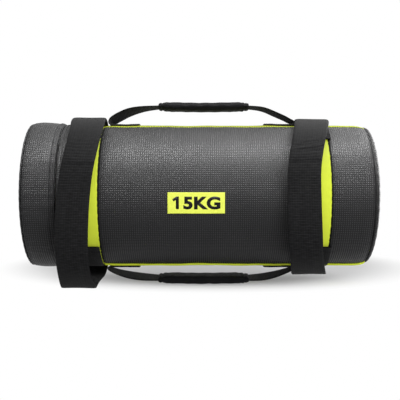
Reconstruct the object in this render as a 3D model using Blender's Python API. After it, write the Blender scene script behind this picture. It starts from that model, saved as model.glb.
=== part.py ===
# Sandbag trainer: a filled cylindrical bag with two grips and two carrying loops.
# Lengths in metres, +Z up. The bag lies along X with its zipped cap on the left.
# The origin is on the floor, under the middle of the whole part.
# Pieces are worked out about the bag's own axis, then set down by AXIS_PLACE.
# Angles go round that axis: 0 is the front, a quarter turn the top, a half turn the back.

import math

import bmesh
import bpy
from mathutils import Vector

# Driving dimensions of the bag
BAG_RADIUS = 0.100
SEAM_REACH = 0.239
DOME_RISE = 0.008
SKIN = 0.0012
CLEARANCE = 0.0003
FLOOR_RISE = 0.031

# Bands, stripes, cap and zip; the bands and the cap keep their distance from the end seams
BAND_SETBACK = 0.064
BAND_WIDTH = 0.039
STRIPE_WIDTH = 0.052
CAP_LENGTH = 0.0475
ZIP_SLOT = 0.003
ZIP_CHAIN = 0.0009
ZIP_CHAIN_HEIGHT = 0.001
ZIP_CHAIN_GAP = 0.0006
ZIP_TAPE_WIDTH = 0.012
ZIP_TAPE = 0.0012
CAP_SWELL = 0.0028
CAP_RIM_RISE = 0.0015
CAP_STEPS = 6

# End discs and piping
PIPING_RADIUS = 0.0022
PIPING_SINK = 0.0006
DISC_FLAT = 0.040
DISC_FOAM = 0.008

# Padding, liner and filling
FOAM = 0.005
FOAM_SETBACK = 0.0032
LINER = 0.0008
LINER_CORNER = 0.020
NECK_RADIUS = 0.018
NECK_LENGTH = 0.013
NECK_GAP = 0.004
TIE_WIDTH = 0.004
TIE_THICKNESS = 0.002
TIE_SETBACK = 0.006

# Weight label on the front
LABEL_WIDTH = 0.076
LABEL_HEIGHT = 0.028
LABEL_THICKNESS = 0.0005
LABEL_DROP = 0.0118

# Carrying loops and the webbing that they are sewn to
WEBBING_WIDTH = 0.0475
WEBBING = 0.0018
BASE_SHIFT = 0.005
BASE_TOP_ANGLE = math.radians(54)
BASE_BOTTOM_ANGLE = math.radians(-49)
SEWN_ANGLE = math.radians(128)
SEWN_LENGTH = 0.022
SEWN_STEPS = 3
PAD_WIDTH = 0.010
PAD_LENGTH = 0.016
PAD_HEIGHT = 0.0020
PAD_BITE = 0.0006
LOOP_SEAT_GAP = 0.0005
LOOP_TOP_RISE = 0.0125
LOOP_FRONT_RISE = 0.017
LOOP_SAMPLES = 60
RIGHT_LOOP_RISE = 0.013
LEFT_FRONT_SHIFT = -0.006
LEFT_BOTTOM_SHIFT = -0.016
RIGHT_FRONT_SHIFT = -0.020
RIGHT_BOTTOM_SHIFT = -0.001

# Grips above and below the bag
HANDLE_WIDTH = 0.038
HANDLE_FOOT_WIDTH = 0.024
HANDLE_WEBBING = 0.0018
LEFT_FOLD_GAP = 0.008
RIGHT_FOLD_GAP = 0.003
TAB_LENGTH = 0.041
HINGE_RISE = 0.0125
HINGE_SETBACK = 0.010
GRIP_LENGTH = 0.132
GRIP_SHIFT = 0.005
GRIP_WIDTH = 0.042
GRIP_DEPTH = 0.0074
GRIP_COVER = 0.0008
HANDLE_STATIONS = 5

# Zip slider and its pull tab
SLIDER_ANGLE = math.radians(194)
SLIDER_WIDTH = 0.006
SLIDER_LENGTH = 0.009
SLIDER_PLATE = 0.0012
SLIDER_LIFT = 0.0012
SLIDER_KEEL = 0.0014
EAR_THICKNESS = 0.0008
EAR_SPREAD = 0.0026
EAR_LENGTH = 0.0026
EAR_HEIGHT = 0.0030
PIN_RADIUS = 0.0005
PIN_PLAY = 0.00015
EYE_RADIUS = 0.0012
EYE_WIDTH = 0.0022
PULL_WIDTH = 0.005
PULL_THICKNESS = 0.0009
PULL_LENGTH = 0.014
PULL_NECK = 0.004

# Fineness of round shapes
TURN_STEP = math.radians(7.5)
FULL_TURN = 2 * math.pi
TOP = math.pi / 2
BOTTOM = -math.pi / 2
SMALL_SIDES = 16
PIPING_SIDES = 8
PROFILE_STEPS = 4
MERGE = 1e-6

# Places that follow from the sizes above
BAND_OUTER = SEAM_REACH - BAND_SETBACK
BAND_INNER = BAND_OUTER - BAND_WIDTH
BASE_PLACE = (BAND_INNER + BAND_OUTER) / 2 + BASE_SHIFT
ZIP_REACH = SEAM_REACH - CAP_LENGTH
FOAM_LEFT = ZIP_REACH - ZIP_CHAIN_GAP / 2 - ZIP_TAPE_WIDTH - FOAM_SETBACK
LINER_LEFT = SEAM_REACH - DISC_FOAM - NECK_GAP - NECK_LENGTH
FLOOR_DROP = BAG_RADIUS + FLOOR_RISE
LEFT_LOOP_DROP = FLOOR_DROP
RIGHT_LOOP_DROP = BAG_RADIUS + RIGHT_LOOP_RISE
FOLD_LEFT = -(BAND_INNER - LEFT_FOLD_GAP)
FOLD_RIGHT = BAND_INNER - RIGHT_FOLD_GAP
GRIP_LEFT = GRIP_SHIFT - GRIP_LENGTH / 2
GRIP_RIGHT = GRIP_SHIFT + GRIP_LENGTH / 2
SKIN_INNER = BAG_RADIUS - SKIN
STRIPE_ANGLE = STRIPE_WIDTH / 2 / BAG_RADIUS
GAP_ANGLE = CLEARANCE / BAG_RADIUS
SEWN_RADIUS = BAG_RADIUS + CLEARANCE
BASE_OUTER = SEWN_RADIUS + WEBBING
PIPING_PLACE = BAG_RADIUS - PIPING_SINK
SLEEVE_END = SEAM_REACH - PIPING_RADIUS - CLEARANCE
ZIP_LIP = ZIP_REACH - ZIP_SLOT / 2
CAP_LIP = ZIP_REACH + ZIP_SLOT / 2
CAP_HINGE_RADIUS = BAG_RADIUS + CAP_SWELL + CAP_RIM_RISE
LINER_RADIUS = SKIN_INNER - CLEARANCE - FOAM - CLEARANCE
HINGE_HEIGHT = BAG_RADIUS + HINGE_RISE
GRIP_HEIGHT = FLOOR_DROP - GRIP_DEPTH / 2
PIN_HEIGHT = BAG_RADIUS + SLIDER_LIFT + SLIDER_PLATE + EYE_RADIUS + CLEARANCE


def cap_outline():
    """The cap's outer side from its zip to its rim: it swells between them and widens to the rim."""
    length = SLEEVE_END - CAP_LIP
    outline = []
    for step in range(CAP_STEPS + 1):
        share = step / CAP_STEPS
        swell = CAP_SWELL * (1 - abs(1 - 2 * share) ** 3)
        outline.append((-CAP_LIP - length * share, BAG_RADIUS + swell + CAP_RIM_RISE * share))
    return outline


# Where the bag's axis lies: over the floor, with the part's box centred on the origin
FRONT_REACH = BAG_RADIUS + LOOP_FRONT_RISE + WEBBING / 2
BACK_REACH = max(radius for x, radius in cap_outline())
AXIS_PLACE = Vector((0, (FRONT_REACH - BACK_REACH) / 2, FLOOR_DROP))


def clear_scene():
    for thing in list(bpy.data.objects):
        bpy.data.objects.remove(thing)


def finish(name, colour, roughness):
    material = bpy.data.materials.new(name)
    material.use_nodes = True
    shader = material.node_tree.nodes["Principled BSDF"]
    shader.inputs["Base Color"].default_value = (*colour, 1)
    shader.inputs["Roughness"].default_value = roughness
    shader.inputs["Metallic"].default_value = 0
    return material


def around(angle, radius):
    """A point of the bag's cross-section, as y and z about its axis."""
    return -radius * math.cos(angle), radius * math.sin(angle)


def add_piece(name, points, faces, look, pivot=Vector((0, 0, 0))):
    """One closed body, its points given about the bag's axis and its origin at the pivot."""
    mesh = bpy.data.meshes.new(name)
    shape = bmesh.new()
    corners = [shape.verts.new(Vector(point) - pivot) for point in points]
    for face in faces:
        shape.faces.new([corners[index] for index in face])
    bmesh.ops.remove_doubles(shape, verts=shape.verts, dist=MERGE)
    bmesh.ops.recalc_face_normals(shape, faces=shape.faces)
    shape.to_mesh(mesh)
    shape.free()
    piece = bpy.data.objects.new(name, mesh)
    piece.location = AXIS_PLACE + pivot
    bpy.context.collection.objects.link(piece)
    mesh.materials.append(finish(name, *look))
    return piece


def cut_or_join(piece, other, operation):
    """Apply one Boolean to a piece and throw the other solid away."""
    modifier = piece.modifiers.new(operation.lower(), "BOOLEAN")
    modifier.operation = operation
    modifier.solver = "EXACT"
    modifier.object = other
    bpy.context.view_layer.update()
    result = bpy.data.meshes.new_from_object(piece.evaluated_get(bpy.context.evaluated_depsgraph_get()))
    piece.modifiers.clear()
    piece.data = result
    bpy.data.objects.remove(other)


def turned(name, profile, look, start=0.0, end=FULL_TURN, pivot=Vector((0, 0, 0))):
    """A closed outline of x and radius, carried round the bag's axis from start to end."""
    steps = max(1, math.ceil((end - start) / TURN_STEP - MERGE))
    whole = end - start >= FULL_TURN - MERGE
    rings = steps if whole else steps + 1
    size = len(profile)
    points = []
    for ring in range(rings):
        angle = start + (end - start) * ring / steps
        points += [(x, *around(angle, radius)) for x, radius in profile]
    faces = []
    for ring in range(steps):
        following = (ring + 1) % rings
        for corner in range(size):
            after = (corner + 1) % size
            here = ring * size
            there = following * size
            faces.append((here + corner, here + after, there + after, there + corner))
    if not whole:
        faces.append(tuple(range(size)))
        faces.append(tuple(range((rings - 1) * size, rings * size)))
    return add_piece(name, points, drop_axis_faces(faces, points), look, pivot)


def drop_axis_faces(faces, points):
    """Leave out the faces that lie wholly on the axis, where a solid disc has no wall."""
    def off_axis(index):
        return math.hypot(points[index][1], points[index][2]) > MERGE
    return [face for face in faces if any(off_axis(index) for index in face)]


def band(x_low, x_high, radius_low, radius_high):
    return [(x_low, radius_low), (x_high, radius_low), (x_high, radius_high), (x_low, radius_high)]


def swept(sections):
    """Points and faces of a bar whose closed sections follow each other, with both ends closed."""
    size = len(sections[0])
    points = [point for section in sections for point in section]
    faces = []
    for place in range(len(sections) - 1):
        for corner in range(size):
            after = (corner + 1) % size
            low = place * size
            high = low + size
            faces.append((low + corner, low + after, high + after, high + corner))
    faces.append(tuple(range(size)))
    faces.append(tuple(range(len(points) - size, len(points))))
    return points, faces


def box(name, centre, size, look, tilt=0.0, pivot=Vector((0, 0, 0))):
    """A block whose height turns about X by tilt, out from the bag's axis."""
    half = [length / 2 for length in size]
    points = []
    for sign_x in (-1, 1):
        for sign_y in (-1, 1):
            for sign_z in (-1, 1):
                across = sign_y * half[1]
                up = sign_z * half[2]
                y = centre[1] + across * math.cos(tilt) - up * math.sin(tilt)
                z = centre[2] + across * math.sin(tilt) + up * math.cos(tilt)
                points.append((centre[0] + sign_x * half[0], y, z))
    faces = [(0, 1, 3, 2), (4, 6, 7, 5), (0, 4, 5, 1), (2, 3, 7, 6), (0, 2, 6, 4), (1, 5, 7, 3)]
    return add_piece(name, points, faces, look, pivot)


def rod(name, centre, radius, length, look, pivot=Vector((0, 0, 0))):
    """A round bar along X."""
    sections = []
    for end in (-length / 2, length / 2):
        section = []
        for side in range(SMALL_SIDES):
            angle = FULL_TURN * side / SMALL_SIDES
            y = centre[1] + radius * math.cos(angle)
            z = centre[2] + radius * math.sin(angle)
            section.append((centre[0] + end, y, z))
        sections.append(section)
    return add_piece(name, *swept(sections), look, pivot)


# Colours and roughness of each kind of material
PVC = ((0.035, 0.035, 0.037), 0.45)
LIME = ((0.66, 0.77, 0.06), 0.50)
LABEL = ((0.80, 0.90, 0.12), 0.45)
BLACK_WEB = ((0.018, 0.018, 0.019), 0.85)
GRIP_CLOTH = ((0.022, 0.022, 0.023), 0.80)
BLACK_TAPE = ((0.012, 0.012, 0.012), 0.80)
BLACK_METAL = ((0.020, 0.020, 0.020), 0.35)
PADDING = ((0.30, 0.30, 0.31), 0.90)
LINER_CLOTH = ((0.55, 0.52, 0.44), 0.85)
SAND = ((0.55, 0.43, 0.27), 0.95)
TIE_NYLON = ((0.75, 0.75, 0.72), 0.50)


# Panels, stripes and bands of the outer skin
def add_skin():
    inner_edge = BAND_INNER - CLEARANCE
    outer_edge = BAND_OUTER + CLEARANCE
    front = (BOTTOM + STRIPE_ANGLE + GAP_ANGLE, TOP - STRIPE_ANGLE - GAP_ANGLE)
    back = (TOP + STRIPE_ANGLE + GAP_ANGLE, BOTTOM + FULL_TURN - STRIPE_ANGLE - GAP_ANGLE)
    stretches = (("", -inner_edge, inner_edge), ("_end", outer_edge, SLEEVE_END))
    for suffix, low, high in stretches:
        outline = band(low, high, SKIN_INNER, BAG_RADIUS)
        panel = "panel" if suffix == "" else "end_panel"
        turned("front_" + panel, outline, PVC, *front)
        turned("back_" + panel, outline, PVC, *back)
        turned("top" + suffix + "_stripe", outline, LIME, TOP - STRIPE_ANGLE, TOP + STRIPE_ANGLE)
        turned("bottom" + suffix + "_stripe", outline, LIME, BOTTOM - STRIPE_ANGLE, BOTTOM + STRIPE_ANGLE)
    turned("left_band", band(-BAND_OUTER, -BAND_INNER, SKIN_INNER, BAG_RADIUS), LIME)
    turned("right_band", band(BAND_INNER, BAND_OUTER, SKIN_INNER, BAG_RADIUS), LIME)
    turned("left_sleeve", band(-ZIP_LIP, -outer_edge, SKIN_INNER, BAG_RADIUS), PVC)


# Weight label, a plain plate on the front panel
def add_label():
    middle = -math.asin(LABEL_DROP / BAG_RADIUS)
    half = LABEL_HEIGHT / 2 / BAG_RADIUS
    low = BAG_RADIUS + CLEARANCE
    outline = band(-LABEL_WIDTH / 2, LABEL_WIDTH / 2, low, low + LABEL_THICKNESS)
    turned("weight_label", outline, LABEL, middle - half, middle + half)


# Zip tapes with their chain, one half on the bag and one on the cap
def zip_half(name, side, pivot=Vector((0, 0, 0))):
    outer = SKIN_INNER - CLEARANCE
    inner = outer - ZIP_TAPE
    chain_edge = -ZIP_REACH + side * ZIP_CHAIN_GAP / 2
    chain_back = chain_edge + side * ZIP_CHAIN
    tape_back = chain_edge + side * ZIP_TAPE_WIDTH
    ridge = outer + ZIP_CHAIN_HEIGHT
    outline = [
        (chain_edge, inner),
        (tape_back, inner),
        (tape_back, outer),
        (chain_back, outer),
        (chain_back, ridge),
        (chain_edge, ridge),
    ]
    return turned(name, outline, BLACK_TAPE, pivot=pivot)


def dome(radius, disc_radius):
    """How far an end disc stands out at a radius: flat in the middle, falling to its seam."""
    flat_share = min(1.0, DISC_FLAT / disc_radius)
    fall = (1 - (radius / disc_radius) ** 2) / (1 - flat_share ** 2)
    return DOME_RISE * max(0.0, min(1.0, fall))


def disc_radii(disc_radius):
    ring_share = [step / PROFILE_STEPS for step in range(PROFILE_STEPS + 1)]
    return [0.0] + [DISC_FLAT + (disc_radius - DISC_FLAT) * share for share in ring_share]


def add_end(side, disc_name, piping_name, foam_name, seam_radius, pivot=Vector((0, 0, 0))):
    """The domed disc, its piping and the foam behind it; side is 1 right, -1 left."""
    disc_radius = seam_radius - PIPING_RADIUS - CLEARANCE
    radii = disc_radii(disc_radius)
    outer = [(side * (SEAM_REACH + dome(radius, disc_radius)), radius) for radius in radii]
    inner = [(x - side * SKIN, radius) for x, radius in reversed(outer)]
    turned(disc_name, outer + inner, PVC, pivot=pivot)
    foam_face = [(x - side * (SKIN + CLEARANCE), radius) for x, radius in outer]
    foam_back = side * (SEAM_REACH - DISC_FOAM)
    foam = foam_face + [(foam_back, disc_radius), (foam_back, 0.0)]
    turned(foam_name, foam, PADDING, pivot=pivot)
    piping = []
    for step in range(PIPING_SIDES):
        angle = FULL_TURN * step / PIPING_SIDES
        x = side * SEAM_REACH + PIPING_RADIUS * math.cos(angle)
        piping.append((x, seam_radius + PIPING_RADIUS * math.sin(angle)))
    turned(piping_name, piping, PVC, pivot=pivot)


# The cap that the zip lets swing open, hung on the skin at the back
def add_cap():
    hinge = Vector((-ZIP_REACH, CAP_HINGE_RADIUS, 0))
    outer = cap_outline()
    inner = [(x, radius - SKIN) for x, radius in reversed(outer)]
    turned("cap_sleeve", outer + inner, PVC, pivot=hinge)
    zip_half("zip_tape_cap", -1, hinge)
    add_end(-1, "cap_disc", "cap_piping", "cap_foam", PIPING_PLACE + CAP_RIM_RISE, hinge)


# Padding, liner, its tie and the filling
def liner_outline(inset):
    """The liner's left shoulder and neck, drawn in by inset, from the neck's mouth to its right corner."""
    left = -LINER_LEFT + inset
    radius = LINER_RADIUS - inset
    corner = LINER_CORNER - inset
    shoulder = []
    for step in range(PROFILE_STEPS + 1):
        angle = math.pi / 2 * step / PROFILE_STEPS
        shoulder.append((left + corner * (1 - math.sin(angle)), radius - corner * (1 - math.cos(angle))))
    shoulder.reverse()
    right = SEAM_REACH - DISC_FOAM - CLEARANCE - inset
    return list(reversed([(right, radius)] + list(reversed(shoulder)))), left


def add_inside():
    foam_right = SEAM_REACH - DISC_FOAM - CLEARANCE
    foam_outer = SKIN_INNER - CLEARANCE
    turned("foam_sleeve", band(-FOAM_LEFT, foam_right, foam_outer - FOAM, foam_outer), PADDING)

    outer, left = liner_outline(0.0)
    inner, inner_left = liner_outline(LINER)
    mouth = left - NECK_LENGTH
    wall = [(mouth, NECK_RADIUS), (left, NECK_RADIUS)] + outer + [(outer[-1][0], 0.0)]
    lining = [(inner[-1][0], 0.0)] + list(reversed(inner))
    lining += [(inner_left, NECK_RADIUS - LINER), (mouth, NECK_RADIUS - LINER)]
    turned("liner", wall + lining, LINER_CLOTH)

    fill, fill_left = liner_outline(LINER + CLEARANCE)
    filling = [(fill_left, 0.0)] + fill + [(fill[-1][0], 0.0)]
    turned("sand_fill", filling, SAND)

    tie_inner = NECK_RADIUS + CLEARANCE
    tie_right = left - TIE_SETBACK
    tie = band(tie_right - TIE_WIDTH, tie_right, tie_inner, tie_inner + TIE_THICKNESS)
    turned("liner_tie", tie, TIE_NYLON)


# Slider plate with keel, ears and pin, and the pull tab on the pin
def add_slider():
    y, z = around(SLIDER_ANGLE, 1.0)
    out = Vector((0, y, z))
    tilt = math.atan2(z, y) - math.pi / 2
    middle = Vector((-ZIP_REACH, 0, 0))

    def at(radius):
        return middle + out * radius

    plate_low = BAG_RADIUS + SLIDER_LIFT
    plate_high = plate_low + SLIDER_PLATE
    keel_low = SKIN_INNER - CLEARANCE + ZIP_CHAIN_HEIGHT + CLEARANCE
    axis = middle * 0
    plate_size = (SLIDER_WIDTH, SLIDER_LENGTH, SLIDER_PLATE)
    plate = box("zip_slider", at((plate_low + plate_high) / 2), plate_size, BLACK_METAL, tilt, axis)
    keel_top = plate_low + SLIDER_PLATE / 2
    keel = box("keel", at((keel_low + keel_top) / 2), (SLIDER_KEEL, SLIDER_LENGTH, keel_top - keel_low),
               BLACK_METAL, tilt, axis)
    cut_or_join(plate, keel, "UNION")
    ear_low = plate_high - SLIDER_PLATE / 2
    for side in (-1, 1):
        shift = Vector((side * (EAR_SPREAD + EAR_THICKNESS) / 2, 0, 0))
        ear = box("ear", at(ear_low + EAR_HEIGHT / 2) + shift, (EAR_THICKNESS, EAR_LENGTH, EAR_HEIGHT),
                  BLACK_METAL, tilt, axis)
        cut_or_join(plate, ear, "UNION")
    pin = rod("pin", at(PIN_HEIGHT), PIN_RADIUS, EAR_SPREAD + EAR_THICKNESS, BLACK_METAL, axis)
    cut_or_join(plate, pin, "UNION")

    pivot = at(PIN_HEIGHT)
    pull = rod("zip_pull", pivot, EYE_RADIUS, EYE_WIDTH, BLACK_METAL, pivot)
    neck_centre = pivot - Vector((0, 0, (PULL_NECK + EYE_RADIUS) / 2))
    neck = box("neck", neck_centre, (EYE_WIDTH, PULL_THICKNESS, PULL_NECK), BLACK_METAL, 0.0, pivot)
    cut_or_join(pull, neck, "UNION")
    tab_top = EYE_RADIUS + PULL_NECK / 2
    tab_centre = pivot - Vector((0, 0, (tab_top + PULL_LENGTH) / 2))
    tab_size = (PULL_WIDTH, PULL_THICKNESS, PULL_LENGTH - tab_top)
    tab = box("tab", tab_centre, tab_size, BLACK_METAL, 0.0, pivot)
    cut_or_join(pull, tab, "UNION")
    hole = rod("hole", pivot, PIN_RADIUS + PIN_PLAY, EYE_WIDTH + EAR_SPREAD, BLACK_METAL, pivot)
    cut_or_join(pull, hole, "DIFFERENCE")


# Webbing sewn round the bag, thickened where the loop's ends are stitched down
def add_base_webbing(name, place):
    low = place - WEBBING_WIDTH / 2
    high = place + WEBBING_WIDTH / 2
    outline = band(low, high, SEWN_RADIUS, BASE_OUTER)
    webbing = turned(name, outline, BLACK_WEB, BASE_TOP_ANGLE, BASE_BOTTOM_ANGLE + FULL_TURN)
    half_wide = PAD_WIDTH / 2
    pad_outline = band(place - half_wide, place + half_wide, BASE_OUTER - PAD_BITE, BASE_OUTER + PAD_HEIGHT)
    half = PAD_LENGTH / 2 / BASE_OUTER
    for middle in (SEWN_ANGLE, FULL_TURN - SEWN_ANGLE):
        pad = turned("pad", pad_outline, BLACK_WEB, middle - half, middle + half)
        cut_or_join(webbing, pad, "UNION")


def smooth_path(stops, samples):
    """A curve drawn inside its stops, which cuts their corners and stays flat where they do."""
    stops = [stops[0]] + list(stops) + [stops[-1]]
    spans = len(stops) - 2
    path = []
    for sample in range(samples + 1):
        place = spans * sample / samples
        span = min(int(place), spans - 1)
        share = place - span
        weights = ((1 - share) ** 2 / 2, (1 + 2 * share * (1 - share)) / 2, share ** 2 / 2)
        corners = stops[span:span + 3]
        pairs = list(zip(weights, corners))
        path.append([sum(weight * corner[axis] for weight, corner in pairs) for axis in range(3)])
    path[0] = stops[0]
    path[-1] = stops[-1]
    return path


# A loop's stops from top to floor, as shares of its front reach, of its top or floor
# height, and of its sideways shifts at the front and at the floor
LOOP_STOP_SHARES = (
    (0.26, 1.00, 0.0, 0.0),
    (-0.26, 1.00, 0.0, 0.0),
    (-0.81, 0.82, 0.4, 0.0),
    (-1.00, 0.40, 1.0, 0.0),
    (-1.00, -0.35, 1.0, 0.0),
    (-0.90, -0.73, 0.6, 0.5),
    (-0.56, -1.00, 0.0, 1.0),
    (-0.26, -1.00, 0.0, 1.0),
    (0.09, -1.00, 0.0, 0.9),
    (0.43, -1.00, 0.0, 0.6),
)


def loop_stops(place, drop, front_shift, bottom_shift):
    """Stops of x, y and z from the stitching at the upper back, over the front, to the lower back."""
    seat = BASE_OUTER + PAD_HEIGHT + LOOP_SEAT_GAP + WEBBING / 2
    half_sewn = SEWN_LENGTH / 2 / seat
    front = BAG_RADIUS + LOOP_FRONT_RISE
    top = BAG_RADIUS + LOOP_TOP_RISE
    floor = drop - WEBBING / 2
    sewn = []
    for step in range(SEWN_STEPS + 1):
        angle = SEWN_ANGLE + half_sewn * (1 - 2 * step / SEWN_STEPS)
        sewn.append((place, *around(angle, seat)))
    stops = list(sewn)
    for depth, height, front_share, floor_share in LOOP_STOP_SHARES:
        x = place + front_shift * front_share + bottom_shift * floor_share
        stops.append((x, depth * front, height * (top if height > 0 else floor)))
    stops += [(x, y, -z) for x, y, z in reversed(sewn)]
    return stops


def add_loop(name, place, drop, front_shift, bottom_shift):
    """A flat strap carried along its stops and hinged at its stitching."""
    path = smooth_path(loop_stops(place, drop, front_shift, bottom_shift), LOOP_SAMPLES)
    side = Vector((WEBBING_WIDTH / 2, 0, 0))
    sections = []
    for index, centre in enumerate(map(Vector, path)):
        run = Vector(path[min(index + 1, LOOP_SAMPLES)]) - Vector(path[max(index - 1, 0)])
        out = Vector((0, run.z, -run.y)).normalized() * (WEBBING / 2)
        sections.append([centre - side - out, centre + side - out, centre + side + out, centre - side + out])
    hinge_y = around(SEWN_ANGLE, BASE_OUTER + PAD_HEIGHT + LOOP_SEAT_GAP)[0]
    add_piece(name, *swept(sections), BLACK_WEB, Vector((place, hinge_y, 0)))


def ribbon(name, stops, thickness, look, pivot, side):
    """A strap along X: each stop is x, height, half width, hug and lean.

    Hug is how far the strap bends with the bag's round top, and lean how far its
    thickness leans with the path. Side is 1 above the bag and -1 below it.
    """
    sections = []
    for index, (x, height, half, hug, lean) in enumerate(stops):
        before = stops[max(index - 1, 0)]
        after = stops[min(index + 1, len(stops) - 1)]
        run = Vector((after[0] - before[0], 0, after[1] - before[1])).normalized()
        normal = Vector((-run.z * lean, 0, run.x)).normalized() * (thickness / 2)
        over = []
        under = []
        for station in range(HANDLE_STATIONS):
            y = half * (2 * station / (HANDLE_STATIONS - 1) - 1)
            drop = (height - math.sqrt(height ** 2 - y ** 2)) * hug
            centre = Vector((x, y, height - drop))
            over.append(centre + normal)
            under.append(centre - normal)
        section = over + list(reversed(under))
        sections.append([(point.x, point.y, side * point.z) for point in section])
    return add_piece(name, *swept(sections), look, pivot)


def sleeve(name, height, inner, outer, look, pivot):
    """A padded tube of flattened section along X, open at both ends.

    Inner and outer are half a width, half a depth and the power of the rounded outline.
    """
    sides = 2 * SMALL_SIDES
    points = []
    for x in (GRIP_LEFT, GRIP_RIGHT):
        for half_width, half_depth, power in (inner, outer):
            for step in range(sides):
                angle = FULL_TURN * step / sides
                across = math.copysign(abs(math.cos(angle)) ** power, math.cos(angle))
                up = math.copysign(abs(math.sin(angle)) ** power, math.sin(angle))
                points.append((x, half_width * across, height + half_depth * up))
    faces = []
    for step in range(sides):
        after = (step + 1) % sides
        rows = [start * sides for start in range(4)]
        inner_low, outer_low, inner_high, outer_high = rows
        faces.append((inner_low + step, inner_low + after, inner_high + after, inner_high + step))
        faces.append((outer_low + step, outer_high + step, outer_high + after, outer_low + after))
        faces.append((inner_low + step, outer_low + step, outer_low + after, inner_low + after))
        faces.append((inner_high + step, inner_high + after, outer_high + after, outer_high + step))
    return add_piece(name, points, faces, look, pivot)


# Powers of the grip's rounded outlines: smaller is squarer
GRIP_POWER = 0.55
SLOT_POWER = 0.20
RISE_SHARES = ((0.35, 0.45), (0.70, 0.85), (1.0, 1.0))


# Grip strap of one side: tabs sewn to the bag, webbing, foam and cover
def add_handle(name, side):
    hinge_left = FOLD_LEFT + HINGE_SETBACK
    hinge_right = FOLD_RIGHT - HINGE_SETBACK
    sewn = SEWN_RADIUS + HANDLE_WEBBING / 2
    half = HANDLE_WIDTH / 2
    foot = HANDLE_FOOT_WIDTH / 2
    pivot = Vector((0, 0, side * HINGE_HEIGHT))
    turn = HANDLE_WEBBING + CLEARANCE
    for label, fold, inward in (("left", FOLD_LEFT, 1), ("right", FOLD_RIGHT, -1)):
        tab_end = fold + inward * TAB_LENGTH
        stops = [
            (tab_end, sewn, half, 1, 1),
            (fold + inward * turn, sewn, half, 1, 1),
            (fold, sewn + turn / 2, half, 1, 1),
            (fold + inward * turn / 2, sewn + turn, half, 1, 1),
            (fold + inward * (HINGE_SETBACK - CLEARANCE), HINGE_HEIGHT, foot, 0, 0),
        ]
        ribbon(f"{name}_{label}_tab", stops, HANDLE_WEBBING, BLACK_WEB, Vector((0, 0, 0)), side)

    def rising(start, grip_end, mirror):
        stops = [(start, HINGE_HEIGHT, foot, 0, 0)]
        for along, up in RISE_SHARES:
            x = start + (grip_end - start) * along
            height = HINGE_HEIGHT + (GRIP_HEIGHT - HINGE_HEIGHT) * up
            stops.append((x, height, foot + (half - foot) * min(1.0, along / RISE_SHARES[1][0]), 0, 1))
        return list(reversed(stops)) if mirror else stops

    webbing = rising(hinge_left, GRIP_LEFT, False) + rising(hinge_right, GRIP_RIGHT, True)
    ribbon(name + "_webbing", webbing, HANDLE_WEBBING, BLACK_WEB, pivot, side)
    slot = (half + CLEARANCE, HANDLE_WEBBING / 2 + CLEARANCE, SLOT_POWER)

    def grip_outline(inset):
        return GRIP_WIDTH / 2 - inset, GRIP_DEPTH / 2 - inset, GRIP_POWER

    height = side * GRIP_HEIGHT
    sleeve(name + "_foam", height, slot, grip_outline(GRIP_COVER + CLEARANCE), PADDING, pivot)
    sleeve(name + "_cover", height, grip_outline(GRIP_COVER), grip_outline(0.0), GRIP_CLOTH, pivot)


def main():
    clear_scene()
    add_skin()
    add_label()
    zip_half("zip_tape_bag", 1)
    add_end(1, "right_disc", "right_piping", "right_foam", PIPING_PLACE)
    add_cap()
    add_inside()
    add_slider()
    add_base_webbing("left_base_webbing", -BASE_PLACE)
    add_base_webbing("right_base_webbing", BASE_PLACE)
    add_loop("left_loop", -BASE_PLACE, LEFT_LOOP_DROP, LEFT_FRONT_SHIFT, LEFT_BOTTOM_SHIFT)
    add_loop("right_loop", BASE_PLACE, RIGHT_LOOP_DROP, RIGHT_FRONT_SHIFT, RIGHT_BOTTOM_SHIFT)
    add_handle("top_handle", 1)
    add_handle("bottom_handle", -1)


main()
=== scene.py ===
import math
from contextlib import contextmanager

import bmesh
import bpy
import numpy as np
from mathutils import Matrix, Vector


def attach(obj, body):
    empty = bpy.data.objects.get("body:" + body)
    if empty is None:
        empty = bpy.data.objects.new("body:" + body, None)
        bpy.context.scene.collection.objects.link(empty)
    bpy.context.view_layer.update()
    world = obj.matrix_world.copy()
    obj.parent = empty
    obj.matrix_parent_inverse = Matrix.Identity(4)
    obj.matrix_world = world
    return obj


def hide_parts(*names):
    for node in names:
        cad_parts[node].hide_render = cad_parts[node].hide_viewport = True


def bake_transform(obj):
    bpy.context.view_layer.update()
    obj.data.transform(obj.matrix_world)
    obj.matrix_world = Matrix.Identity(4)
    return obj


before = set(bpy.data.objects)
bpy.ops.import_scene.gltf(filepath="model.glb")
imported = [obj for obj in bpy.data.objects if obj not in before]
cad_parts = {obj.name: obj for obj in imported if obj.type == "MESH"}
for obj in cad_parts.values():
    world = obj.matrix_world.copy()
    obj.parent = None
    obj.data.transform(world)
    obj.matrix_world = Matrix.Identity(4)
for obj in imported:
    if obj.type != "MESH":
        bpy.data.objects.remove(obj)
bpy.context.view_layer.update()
scene = bpy.context.scene

# The bag lies along X. Angle 0 is its front, a quarter turn its top, half a turn its back.
bag = {
    "axisY": 0.0071, "axisZ": 0.131, "radius": 0.100,
    "bandIn": 0.136, "bandOut": 0.175, "zip": 0.1915,
    "stripeHalf": 0.26,  # half of a stripe, as an angle
    "gap": 0.0004,       # between two cloths at a seam
    "sag": 0.0011,       # how far the top sinks and the underside swells
    "skin": 0.0012,      # thickness of the coated cloth
}
axis = (0, bag["axisY"], bag["axisZ"])
quarter = math.pi / 2


def toLinear(hexText):
    # sRGB hex to linear red, green, blue and alpha
    parts = np.array([int(hexText[i:i + 2], 16) for i in (1, 3, 5)]) / 255
    lin = np.where(parts <= 0.04045, parts / 12.92, ((parts + 0.055) / 1.055) ** 2.4)
    return (*[float(c) for c in lin], 1.0)


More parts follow.
